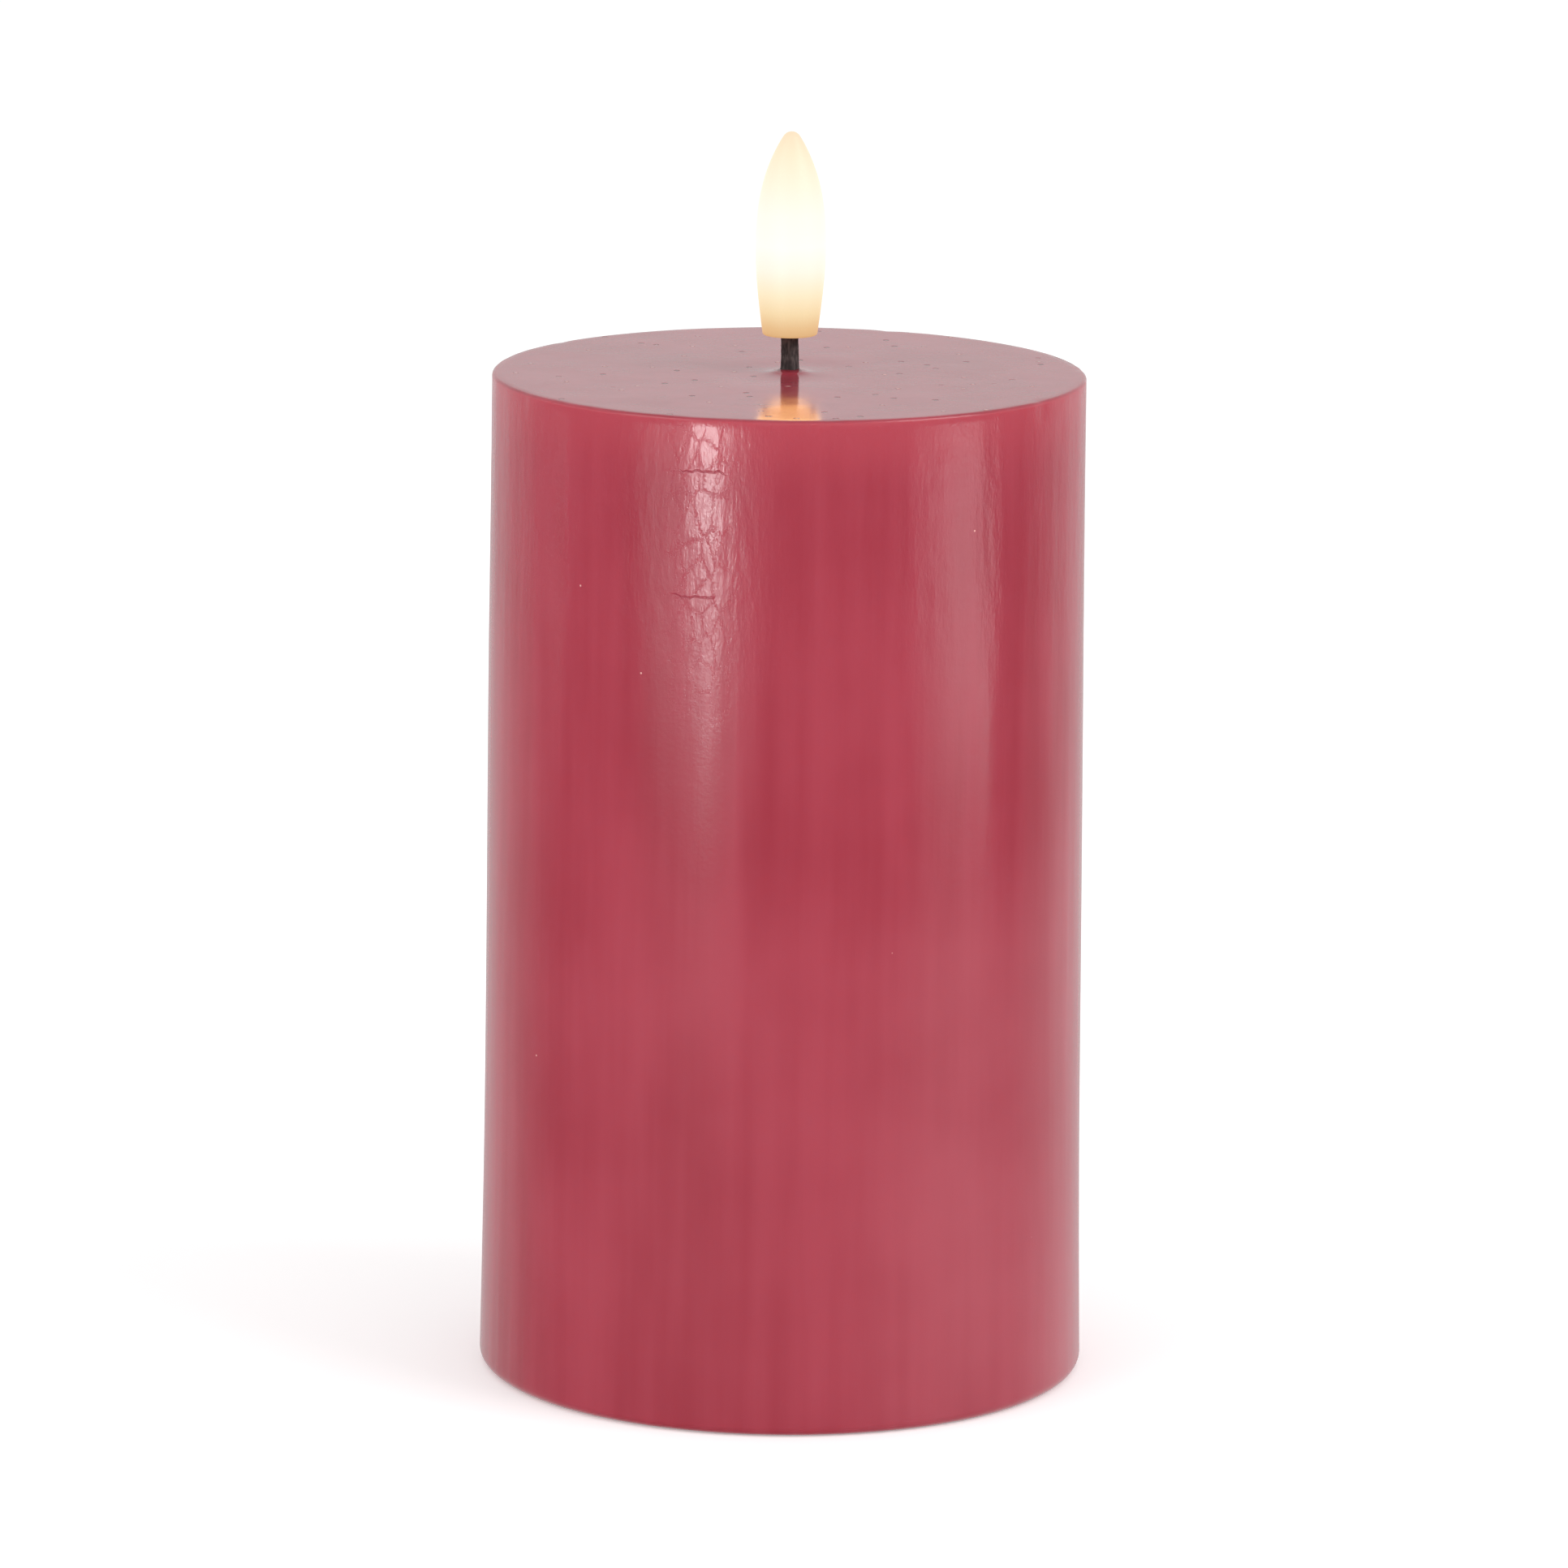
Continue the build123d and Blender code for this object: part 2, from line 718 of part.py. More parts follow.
with BuildPart() as switch_knob:
    with BuildSketch(Plane.XY.offset(knob_reach)):
        with Locations((knob_x, switch_y)):
            Rectangle(knob_length, knob_width)
    extrude(amount=knob_foot_z - knob_reach)
    with BuildSketch(Plane.XY.offset(knob_foot_z)):
        with Locations((knob_x, switch_y)):
            Rectangle(knob_foot_length, knob_foot_width)
    extrude(amount=knob_foot_thickness)
    with BuildSketch(Plane.XY.offset(knob_reach)):
        with Locations((knob_x, switch_y)):
            with GridLocations(knob_groove_pitch, 1, 3, 1):
                Rectangle(grip_groove_width / 2, knob_width)
    extrude(amount=grip_groove_depth, mode=Mode.SUBTRACT)

switch_knob.part.label = "switch_knob"
export_step(switch_knob.part, "parts/switch_knob.step")

with BuildPart() as switch_pins:
    with BuildSketch(Plane.XY.offset(board_z)):
        with Locations((0, switch_y)):
            with GridLocations(switch_pin_pitch, 1, 4, 1):
                Circle(switch_pin_radius)
    extrude(amount=switch_pin_height)

switch_pins.part.label = "switch_pins"
export_step(switch_pins.part, "parts/switch_pins.step")

# ---------------------------------------------------------------- circuit board

with BuildPart() as circuit_board:
    with BuildSketch(Plane.XY.offset(board_z)):
        with Locations((0, board_y)):
            RectangleRounded(board_length, board_width, board_corner)
        with Locations(*board_screw_places()):
            Circle(board_screw_radius + screw_clearance, mode=Mode.SUBTRACT)
        with Locations((0, switch_y)):
            with GridLocations(switch_pin_pitch, 1, 4, 1):
                Circle(switch_pin_radius + pin_clearance, mode=Mode.SUBTRACT)
    extrude(amount=board_thickness)

circuit_board.part.label = "circuit_board"
export_step(circuit_board.part, "parts/circuit_board.step")

# The timer chip stands on eight flat legs.
chip_place = (-3.5, board_y + 3.2)
chip_size = (5.0, 3.6)
chip_height = 1.4
chip_chamfer = 0.15
leg_thickness = 0.2
leg_size = (0.45, 1.2)
leg_pitch = 1.27

with BuildPart() as timer_chip:
    with BuildSketch(Plane.XY.offset(board_top + leg_thickness)):
        with Locations(chip_place):
            Rectangle(*chip_size)
    extrude(amount=chip_height)
    top_edges = timer_chip.edges().group_by(Axis.Z)[-1]
    chamfer(top_edges, chip_chamfer)
    with BuildSketch(Plane.XY.offset(board_top)):
        with Locations(chip_place):
            with GridLocations(leg_pitch, chip_size[1], 4, 2):
                Rectangle(*leg_size)
    extrude(amount=leg_thickness)

timer_chip.part.label = "timer_chip"
export_step(timer_chip.part, "parts/timer_chip.step")

# A small can crystal lies on its side.
crystal_radius = 1.0
crystal_length = 6.0
crystal_edge_round = 0.25
crystal_place = (-6.5, board_y - 4.2)

with BuildPart() as crystal:
    with BuildSketch(Plane.YZ.offset(crystal_place[0] - crystal_length / 2)):
        with Locations((crystal_place[1], board_top + crystal_radius)):
            Circle(crystal_radius)
    extrude(amount=crystal_length)
    end_rims = crystal.edges().filter_by(GeomType.CIRCLE)
    fillet(end_rims, crystal_edge_round)

crystal.part.label = "crystal"
export_step(crystal.part, "parts/crystal.step")

# An upright electrolytic capacitor smooths the lamp's supply.
capacitor_radius = 2.5
capacitor_height = 7.0
capacitor_edge_round = 0.4
capacitor_place = (4.8, board_y + 3.0)

with BuildPart() as capacitor:
    with BuildSketch(Plane.XY.offset(board_top)):
        with Locations(capacitor_place):
            Circle(capacitor_radius)
    extrude(amount=capacitor_height)
    top_rim = capacitor.edges().group_by(Axis.Z)[-1]
    fillet(top_rim, capacitor_edge_round)

capacitor.part.label = "capacitor"
export_step(capacitor.part, "parts/capacitor.step")

resistor_size = (3.2, 1.6)
resistor_height = 0.6
resistor_places = ((6.6, board_y - 3.0), (6.6, board_y - 5.0))

with BuildPart() as resistors:
    with BuildSketch(Plane.XY.offset(board_top)):
        with Locations(*resistor_places):
            Rectangle(*resistor_size)
    extrude(amount=resistor_height)

resistors.part.label = "resistors"
export_step(resistors.part, "parts/resistors.step")

# ---------------------------------------------------------------- screws

with BuildPart() as base_screws:
    with BuildSketch(Plane.XY.offset(base_recess + base_head_height)):
        with Locations(*base_screw_places()):
            Circle(base_head_radius)
    extrude(amount=-base_head_height)
    head_rims = base_screws.edges().group_by(Axis.Z)[0]
    fillet(head_rims, base_head_round)
    with BuildSketch(Plane.XY.offset(base_recess + base_head_height)):
        with Locations(*base_screw_places()):
            Circle(base_screw_radius)
    extrude(amount=base_screw_length)
    tips = base_screws.edges().group_by(Axis.Z)[-1]
    chamfer(tips, base_tip_chamfer)
    with BuildSketch(Plane.XY.offset(base_recess)):
        with Locations(*base_screw_places()):
            Rectangle(base_drive_width, base_drive_slot)
            Rectangle(base_drive_slot, base_drive_width)
    extrude(amount=drive_depth, mode=Mode.SUBTRACT)

base_screws.part.label = "base_screws"
export_step(base_screws.part, "parts/base_screws.step")

with BuildPart() as board_screws:
    with BuildSketch(Plane.XY.offset(board_top)):
        with Locations(*board_screw_places()):
            Circle(board_head_radius)
    extrude(amount=board_head_height)
    head_rims = board_screws.edges().group_by(Axis.Z)[-1]
    fillet(head_rims, board_head_round)
    with BuildSketch(Plane.XY.offset(board_top)):
        with Locations(*board_screw_places()):
            Circle(board_screw_radius)
    extrude(amount=-board_screw_length)
    with BuildSketch(Plane.XY.offset(board_top + board_head_height)):
        with Locations(*board_screw_places()):
            Rectangle(board_drive_width, board_drive_slot)
            Rectangle(board_drive_slot, board_drive_width)
    extrude(amount=-drive_depth, mode=Mode.SUBTRACT)

board_screws.part.label = "board_screws"
export_step(board_screws.part, "parts/board_screws.step")

# ---------------------------------------------------------------- wick

# A thin tube carries the flame and hides the lamp's leads.
with BuildPart() as wick_tube:
    with BuildSketch(Plane.XY.offset(wick_bottom)):
        Circle(wick_radius)
        Circle(wick_bore, mode=Mode.SUBTRACT)
    extrude(amount=wick_top - wick_bottom)

wick_tube.part.label = "wick_tube"
export_step(wick_tube.part, "parts/wick_tube.step")

with BuildPart() as wick_bushing:
    with BuildSketch(Plane.XY.offset(shell_top)):
        Circle(bushing_flange_radius)
    extrude(amount=bushing_flange)
    with BuildSketch(Plane.XY.offset(shell_top)):
        Circle(bushing_radius)
    extrude(amount=-bushing_length)
    with BuildSketch(Plane.XY.offset(shell_top + bushing_flange)):
        Circle(wick_radius + wick_clearance)
    extrude(amount=-(bushing_flange + bushing_length), mode=Mode.SUBTRACT)

wick_bushing.part.label = "wick_bushing"
export_step(wick_bushing.part, "parts/wick_bushing.step")

# A push-on ring, whose four teeth reach in to the tube, sits under the bushing.
with BuildPart() as wick_retainer:
    with BuildSketch(Plane.XY.offset(bushing_bottom)):
        Circle(retainer_radius)
        Circle(retainer_radius - retainer_ring, mode=Mode.SUBTRACT)
        with PolarLocations((wick_radius + retainer_radius) / 2, retainer_teeth, start_angle=45):
            Rectangle(retainer_radius - wick_radius - 2 * wick_clearance, retainer_tooth_width)
    extrude(amount=-retainer_thickness)

wick_retainer.part.label = "wick_retainer"
export_step(wick_retainer.part, "parts/wick_retainer.step")

# ---------------------------------------------------------------- flame

tip_slope = radians(33)  # between the side and the axis, where the rounded tip begins
foot_lean = 0.13  # how far the side leans out at the foot, for each millimetre up


def flame_side(foot_radius, belly_radius, height, tip_radius):
    """Half of a plump almond: a curve up from its open foot, and the arc of its tip."""
    shoulder = Spline(
        (foot_radius, flame_z),
        (belly_radius, flame_z + 0.40 * flame_height),
        (0.915 * belly_radius, flame_z + 0.655 * height),
        (0.645 * belly_radius, flame_z + 0.834 * height),
        (tip_radius * cos(tip_slope), flame_z + height - tip_radius * (1 - sin(tip_slope))),
        tangents=((foot_lean, 1), (-sin(tip_slope), cos(tip_slope))),
    )
    CenterArc(
        center=(0, flame_z + height - tip_radius),
        radius=tip_radius,
        start_angle=tip_slope * 180 / pi,
        arc_size=90 - tip_slope * 180 / pi,
    )
    return shoulder


# The lamp's room inside follows the outside, one wall further in.
with BuildPart() as flame_diffuser:
    with BuildSketch(Plane.XZ):
        with BuildLine():
            outside = flame_side(flame_base_radius, flame_belly_radius, flame_height, flame_tip_radius)
            inside = flame_side(
                flame_base_radius - flame_wall,
                flame_belly_radius - flame_wall,
                flame_height - cavity_tip_wall,
                cavity_tip_radius,
            )
            Line(outside @ 0, inside @ 0)
            Line((0, flame_z + flame_height), (0, flame_z + flame_height - cavity_tip_wall))
        make_face()
    revolve(axis=Axis.Z)
    foot_edges = flame_diffuser.edges().group_by(Axis.Z)[0].sort_by(SortBy.RADIUS)
    fillet(foot_edges[-1], flame_foot_round)

flame_diffuser.part.label = "flame_diffuser"
export_step(flame_diffuser.part, "parts/flame_diffuser.step")

# The collar plugs the flame's foot, grips the wick tube and seats the lamp.
with BuildPart() as flame_collar:
    with BuildSketch(Plane.XY.offset(flame_z)):
        Circle(flame_base_radius - flame_wall - wick_clearance)
    extrude(amount=collar_height)
    with BuildSketch(Plane.XY.offset(flame_z)):
        Circle(wick_bore)
    extrude(amount=collar_height, mode=Mode.SUBTRACT)
    with BuildSketch(Plane.XY.offset(flame_z)):
        Circle(wick_radius + wick_clearance)
    extrude(amount=wick_plug, mode=Mode.SUBTRACT)

flame_collar.part.label = "flame_collar"
export_step(flame_collar.part, "parts/flame_collar.step")

with BuildPart() as led_lamp:
    with BuildSketch(Plane.XY.offset(collar_top)):
        Circle(lamp_rim_radius)
    extrude(amount=lamp_rim_height)
    with BuildSketch(Plane.XY.offset(collar_top)):
        Circle(lamp_radius)
    extrude(amount=lamp_height)
    dome_rim = led_lamp.edges().group_by(Axis.Z)[-1]
    fillet(dome_rim, lamp_radius - lamp_crown_radius)

led_lamp.part.label = "led_lamp"
export_step(led_lamp.part, "parts/led_lamp.step")

with BuildPart() as led_leads:
    with BuildSketch(Plane.XY.offset(collar_top)):
        with Locations((-lead_offset, 0), (lead_offset, 0)):
            Circle(lead_radius)
    extrude(amount=-lead_length)

led_leads.part.label = "led_leads"
export_step(led_leads.part, "parts/led_leads.step")

# ---------------------------------------------------------------- wires

def report_wire(name, length, volume, route, radius):
    """Prints a wire's length, its bends and its volume as a share of its section times length."""
    bends = [round(bend, 1) for bend in bend_radii(route)]
    share = volume / (pi * radius**2 * length)
    print(f"{name}: {length:.1f} mm long, bends {bends}, volume share {share:.3f}")


# Each lamp wire leaves the wick tube, crosses to the front wall, runs down through the two clips
# and ends on the board.
for name, side in (("lamp_wire_red", -1), ("lamp_wire_black", 1)):
    route = [
        (side * lead_offset, 0, lead_bottom),
        (side * lead_offset, 0, wick_bottom - 8.0),
        (side * 0.5, -13.0, wick_bottom - 17.0),
        (side * 0.5, 2.3 - shell_radius_at(80.0), 84.0),
        (side * 0.55, 2.1 - shell_radius_at(60.0), 62.0),
        (side * 0.5, 2.2 - shell_radius_at(42.0), 42.0),
        (side * 0.55, 2.1 - shell_radius_at(25.0), 25.0),
        (side * 1.3, board_y - 4.4, board_top + 4.6),
        (side * 1.3, board_y - 4.4, board_top),
    ]
    with BuildPart() as lamp_wire:
        with BuildLine():
            path = FilletPolyline(*route, radius=bend_radii(route))
        with BuildSketch(Plane(origin=route[0], z_dir=(0, 0, -1))):
            Circle(lamp_wire_radius)
        sweep()
    lamp_wire.part.label = name
    export_step(lamp_wire.part, f"parts/{name}.step")
    report_wire(name, path.length, lamp_wire.part.volume, route, lamp_wire_radius)

# The battery wires climb over the box and come down on the board's two ends.
tab_face = contact_thickness - contact_x
red_route = [
    (tab_face, -cell_y, tab_top - solder_drop),
    (tab_face + 3.2, -cell_y, tab_top - solder_drop),
    (tab_face + 7.0, -cell_y - 4.5, tab_top + 1.0),
    (tab_face + 12.5, board_y + 5.0, tab_top - 0.5),
    (-11.2, board_y - 1.6, board_top + 7.5),
    (-11.2, board_y - 1.6, board_top),
]
black_route = [
    (tab_face, cell_y, tab_top - solder_drop),
    (tab_face + 3.2, cell_y, tab_top - solder_drop),
    (tab_face + 10.0, cell_y - 3.0, tab_top + 0.2),
    (tab_face + 20.0, cell_y - 10.5, tab_top - 0.3),
    (tab_face + 31.0, -cell_y - 5.0, tab_top + 1.2),
    (11.2, board_y + 1.0, board_top + 8.5),
    (11.2, board_y - 1.8, board_top + 3.6),
    (11.2, board_y - 1.8, board_top),
]
for name, route in (("battery_wire_red", red_route), ("battery_wire_black", black_route)):
    with BuildPart() as battery_wire:
        with BuildLine():
            path = FilletPolyline(*route, radius=bend_radii(route))
        with BuildSketch(Plane(origin=route[0], z_dir=(1, 0, 0))):
            Circle(battery_wire_radius)
        sweep()
    battery_wire.part.label = name
    export_step(battery_wire.part, f"parts/{name}.step")
    report_wire(name, path.length, battery_wire.part.volume, route, battery_wire_radius)
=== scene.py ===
# %% [markdown]
# # A flameless pillar candle
# A pillar of rose-red wax stands on a round foot. A black wick carries a frosted flame, lit
# from inside by a small lamp. Under the wax sit a plastic shell, two cells, a switch and a
# little circuit board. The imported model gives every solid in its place, so this lesson is
# about looks: it lights the candle, models the hand-poured wax and the softer details, and
# paints every piece with nodes.

import math

import bmesh
import bpy
from mathutils import Matrix, Vector, noise


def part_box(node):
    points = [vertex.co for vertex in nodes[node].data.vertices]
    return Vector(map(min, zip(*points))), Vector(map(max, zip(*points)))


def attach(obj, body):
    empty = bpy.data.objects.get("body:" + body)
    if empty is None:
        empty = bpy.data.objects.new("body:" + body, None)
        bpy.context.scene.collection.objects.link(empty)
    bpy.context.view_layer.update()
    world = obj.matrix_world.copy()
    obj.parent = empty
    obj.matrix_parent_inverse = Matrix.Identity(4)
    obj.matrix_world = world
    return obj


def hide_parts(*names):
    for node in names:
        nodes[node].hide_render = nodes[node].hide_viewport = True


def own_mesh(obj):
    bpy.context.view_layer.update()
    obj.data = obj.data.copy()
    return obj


MM = 0.001

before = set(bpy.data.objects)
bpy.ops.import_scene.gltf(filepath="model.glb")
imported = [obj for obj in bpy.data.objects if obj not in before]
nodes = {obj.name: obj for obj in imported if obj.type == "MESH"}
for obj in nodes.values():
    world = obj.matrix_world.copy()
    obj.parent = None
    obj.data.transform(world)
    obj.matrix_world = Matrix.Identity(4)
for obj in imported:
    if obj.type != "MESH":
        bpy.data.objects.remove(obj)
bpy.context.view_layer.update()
wax_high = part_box("wax_body")[1]

# %% [markdown]
# ## The camera
# A long lens from a metre away keeps the candle's sides almost parallel. It looks slightly
# down, so the round top shows as a thin ellipse. A camera that isn't turned looks straight
# down, so it is first raised to the horizon, less the tilt, and then rolled by half a degree.

# %% Camera
camera_distance = 1.0917
camera_height = 0.3003
camera_tilt = 0.20493
camera_roll = 0.0098

camera_data = bpy.data.cameras.new("camera")
camera_data.sensor_width = 36.0
camera_data.lens = 206.55
camera_data.shift_x = -0.00095
camera = bpy.data.objects.new("camera", camera_data)
bpy.context.scene.collection.objects.link(camera)
camera.location = (0, -camera_distance, camera_height)
raised = Matrix.Rotation(math.pi / 2 - camera_tilt, 4, "X")
camera.rotation_euler = (raised @ Matrix.Rotation(camera_roll, 4, "Z")).to_euler()
bpy.context.scene.camera = camera
bpy.context.scene.view_settings.view_transform = "Standard"
print("the camera looks down by", round(math.degrees(camera_tilt), 1), "degrees")

# %% [markdown]
# ## Writing shaders as sums
# A shader tree grows fast when every sum is a node placed by hand. Two small classes keep it
# short. `Value` wraps a socket that carries a number, and Python's own + - * / on it add the
# Math nodes. `Paint` is one material: it adds any node by its type, and has the few patterns
# that many finishes share. Colours never pass through a Math node, because that would turn
# them grey: they go through Mix.


# %% A number that changes over a surface
class Value:
    def __init__(self, tree, socket):
        self.tree = tree
        self.socket = socket

    def math(self, operation, *others, clamp=False):
        node = self.tree.nodes.new("ShaderNodeMath")
        node.operation = operation
        node.use_clamp = clamp
        for socket, value in zip(node.inputs, (self, *others)):
            plug(self.tree, socket, value)
        return Value(self.tree, node.outputs[0])

    def __add__(self, other):
        return self.math("ADD", other)

    def __sub__(self, other):
        return self.math("SUBTRACT", other)

    def __mul__(self, other):
        return self.math("MULTIPLY", other)

    def __truediv__(self, other):
        return self.math("DIVIDE", other)

    def __pow__(self, other):
        return self.math("POWER", other)

    def __radd__(self, other):
        return self.math("ADD", other)

    def __rmul__(self, other):
        return self.math("MULTIPLY", other)

    def __rsub__(self, other):
        return (self * -1).math("ADD", other)

    def __abs__(self):
        return self.math("ABSOLUTE")

    def step(self, low, high):
        """0 below low, 1 above high and a smooth rise between them; high may be the lower."""
        node = self.tree.nodes.new("ShaderNodeMapRange")
        node.interpolation_type = "SMOOTHSTEP"
        for name, value in (("Value", self), ("From Min", low), ("From Max", high)):
            plug(self.tree, node.inputs[name], value)
        return Value(self.tree, node.outputs["Result"])


def plug(tree, socket, value):
    """Links a socket to a value's own socket, or sets it to a plain number or colour."""
    if isinstance(value, Value):
        value = value.socket
    if isinstance(value, bpy.types.NodeSocket):
        tree.links.new(value, socket)
    elif value is not None:
        socket.default_value = value


# %% One material
class Paint:
    def __init__(self, name, tree=None):
        self.material = bpy.data.materials.new(name) if tree is None else None
        if self.material:
            self.material.use_nodes = True
            tree = self.material.node_tree
            self.shader = tree.nodes["Principled BSDF"]
        self.tree = tree

    def add(self, kind, settings=None, values=None, output=0):
        """Adds a node: its settings first, then its sockets. Returns one of its outputs."""
        node = self.tree.nodes.new("ShaderNode" + kind)
        for name, setting in (settings or {}).items():
            setattr(node, name, setting)
        for name, value in (values or {}).items():
            plug(self.tree, node.inputs[name], value)
        return node.outputs[output]

    def number(self, *words):
        """Adds a node, as add does, and wraps its output for sums."""
        return Value(self.tree, self.add(*words))

    def place(self, centre=(0, 0, 0), stretch=(1, 1, 1), turn=(0, 0, 0)):
        """Object coordinates in millimetres, counted from a centre, turned and stretched."""
        moved = self.add(
            "VectorMath",
            {"operation": "SUBTRACT"},
            {0: self.add("TexCoord", output="Object"), 1: centre},
        )
        return self.add(
            "Mapping", None, {"Vector": moved, "Rotation": turn, "Scale": [s / MM for s in stretch]}
        )

    def axes(self, vector):
        """The three numbers of a vector."""
        parts = self.tree.nodes.new("ShaderNodeSeparateXYZ")
        plug(self.tree, parts.inputs[0], vector)
        return [Value(self.tree, parts.outputs[i]) for i in range(3)]

    def noise(self, vector, size, detail=3.0, roughness=0.5):
        """Cloudy noise around 0, from about -0.5 to 0.5, with patches of a size in mm."""
        sockets = {"Vector": vector, "Scale": 1 / size, "Detail": detail, "Roughness": roughness}
        return self.number("TexNoise", None, sockets) - 0.5

    def dots(self, vector, size, radius, space="3D"):
        """1 inside small scattered dots and 0 outside them; both sizes in mm."""
        sockets = {"Vector": vector, "Scale": 1 / size}
        away = self.number("TexVoronoi", {"voronoi_dimensions": space}, sockets)
        return away.step(radius / size, 0.5 * radius / size)

    def mix(self, factor, first, second):
        """A colour between two; 6, 7 and 2 are the Mix node's sockets for colours."""
        sockets = {0: factor, 6: first, 7: second}
        return self.add("Mix", {"data_type": "RGBA"}, sockets, 2)

    def ramp(self, value, stops):
        """A colour from a list of positions from 0 to 1 and their colours."""
        node = self.tree.nodes.new("ShaderNodeValToRGB")
        band = node.color_ramp
        while len(band.elements) < len(stops):
            band.elements.new(0.5)
        for element, (position, colour) in zip(band.elements, stops):
            element.position = position
            element.color = colour
        plug(self.tree, node.inputs[0], value)
        return node.outputs[0]

    def bump(self, height, depth, under=None):
        """A relief of a height from 0 to 1 and a depth in mm, over another relief if given."""
        sockets = {"Height": height, "Distance": depth * MM, "Normal": under}
        return self.add("Bump", None, sockets)

    def set(self, **sockets):
        """Sets the shader's sockets; a name's underscores stand for spaces."""
        for name, value in sockets.items():
            plug(self.tree, self.shader.inputs[name.replace("_", " ")], value)
        return self.material


def rgb(red, green, blue):
    """A colour as seen on a screen, from 0 to 255, as the shader's linear colour."""
    linear = []
    for channel in (red, green, blue):
        share = channel / 255
        linear.append(share / 12.92 if share <= 0.04045 else ((share + 0.055) / 1.055) ** 2.4)
    return (*linear, 1.0)


def place_in_scene(name, data):
    """A new object at the origin that shows a mesh or a lamp."""
    made = bpy.data.objects.new(name, data)
    bpy.context.scene.collection.objects.link(made)
    return made


def mesh_from(name, shape):
    """A mesh made from a bmesh, which is then freed."""
    mesh = bpy.data.meshes.new(name)
    shape.to_mesh(mesh)
    shape.free()
    return mesh


def dress(node_name, material):
    """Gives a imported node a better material."""
    mesh = nodes[node_name].data
    mesh.materials.clear()
    mesh.materials.append(material)


# %% [markdown]
# ## Studio
# The room is white all round above the table. Polished wax mirrors what lies in front of and
# below it, so there the room is dim, and the wax keeps its deep colour, while the pale back
# of the room gives the sides their light rims. The paper sweep under the candle is left out
# of mirror rays for the same reason. A ray that comes straight from the camera sees the room
# a little brighter, so that the wall behind is as white as the sweep.

# %% Room
room_level = 0.8
wall_level = 1.1

room = bpy.data.worlds.new("room")
bpy.context.scene.world = room
room.use_nodes = True
room_paint = Paint("room", room.node_tree)
direction = room_paint.axes(room_paint.add("TexCoord", output="Generated"))
above = direction[2].step(-0.06, 0.05)
behind = direction[1].step(0.0, 0.75)
glow = above.math("MAXIMUM", behind * 0.85 + 0.08) * room_level
seen = room_paint.number("LightPath")
background = room.node_tree.nodes["Background"]
plug(room.node_tree, background.inputs["Strength"], glow.math("MAXIMUM", seen * wall_level))
background.inputs["Color"].default_value = (1, 1, 1, 1)

# %% Sweep
sweep_mesh = bmesh.new()
bmesh.ops.create_grid(sweep_mesh, x_segments=8, y_segments=8, size=6.0)
sweep_data = mesh_from("sweep", sweep_mesh)
sweep = place_in_scene("sweep", sweep_data)
sweep.visible_glossy = False
sweep_paint = Paint("sweep_paper")
sweep_data.materials.append(
    sweep_paint.set(
        Base_Color=(0.9, 0.9, 0.9, 1),
        Roughness=0.9,
        Emission_Color=(1, 1, 1, 1),
        Emission_Strength=0.25,
    )
)


# %% [markdown]
# ## Lamps
# Two wide, high softboxes light the wax, the stronger one from the right. They stand too high
# to be mirrored in the upright side. What is mirrored there are low strips close to the
# candle. A lamp is equally bright all over, so each strip is a stack of rows, brightest at the
# top, and the streak that it leaves on the wax fades as it runs down. The strips stand side by
# side on a circle, never one before another: a narrow bright one with a dimmer veil round it
# on the left, and a broad soft panel on the right.

# %% Softboxes and strips
middle_height = 0.07
strip_distance = 0.37


def softbox(name, azimuth, distance, height, size, power):
    """An area lamp that faces the candle. Azimuth 0 is in front and 90 on the right."""
    lamp = bpy.data.lights.new(name, "AREA")
    lamp.shape = "RECTANGLE"
    lamp.size, lamp.size_y = size
    lamp.energy = power
    holder = place_in_scene(name, lamp)
    angle = math.radians(azimuth)
    holder.location = (math.sin(angle) * distance, -math.cos(angle) * distance, height)
    facing = Vector((0, 0, min(height, middle_height))) - holder.location
    holder.rotation_euler = facing.to_track_quat("-Z", "Y").to_euler()


def strip(name, azimuth, width, strength, fade=1.2, low=0.0, high=0.075, rows=5):
    """A low strip of stacked rows, dim at the bottom and near full strength at the top."""
    step = (high - low) / rows
    for row in range(rows):
        share = ((row + 0.5) / rows) ** fade
        height = low + (row + 0.5) * step
        power = strength * share * width * step
        softbox(f"{name}_{row}", azimuth, strip_distance, height, (width, step), power)


softbox("key_right", 62, 1.3, 0.95, (0.9, 0.9), 8.6)
softbox("fill_left", -55, 1.5, 1.0, (0.9, 0.9), 4.4)
strip("streak", -29.5, 0.046, 140.0, fade=2.3, high=0.09, rows=6)
column_width = 0.05
for azimuth, strength in ((-52.75, 6.0), (-45.0, 12.0), (-37.25, 13.0), (-21.75, 12.0), (-14.0, 3.0)):
    strip(f"veil_{azimuth}", azimuth, column_width, strength)
for azimuth, strength in ((52.5, 5.0), (60.25, 10.0), (68.0, 12.0), (75.75, 9.0)):
    strip(f"panel_{azimuth}", azimuth, column_width, strength, fade=0.6, rows=4)
strip("panel_edge", 78, 0.012, 14.0, fade=0.3, low=0.008, high=0.05, rows=2)
strip("far_left", -94.5, 0.012, 9.0, fade=0.3, low=0.03, high=0.07, rows=2)

# %% [markdown]
# ## Wax
# The wax is poured round the shell in a drafted mould and scraped flat on top. The mesh
# starts as a half section of a few corners. The two corners that are soft on the real pillar
# are bevelled, the long runs are cut into rings, and a full spin makes the pillar. Then every
# point is nudged a little: the side is not quite round, faint flow lines run up it, the rim
# has nicks, and the wax climbs the wick in a small collar.

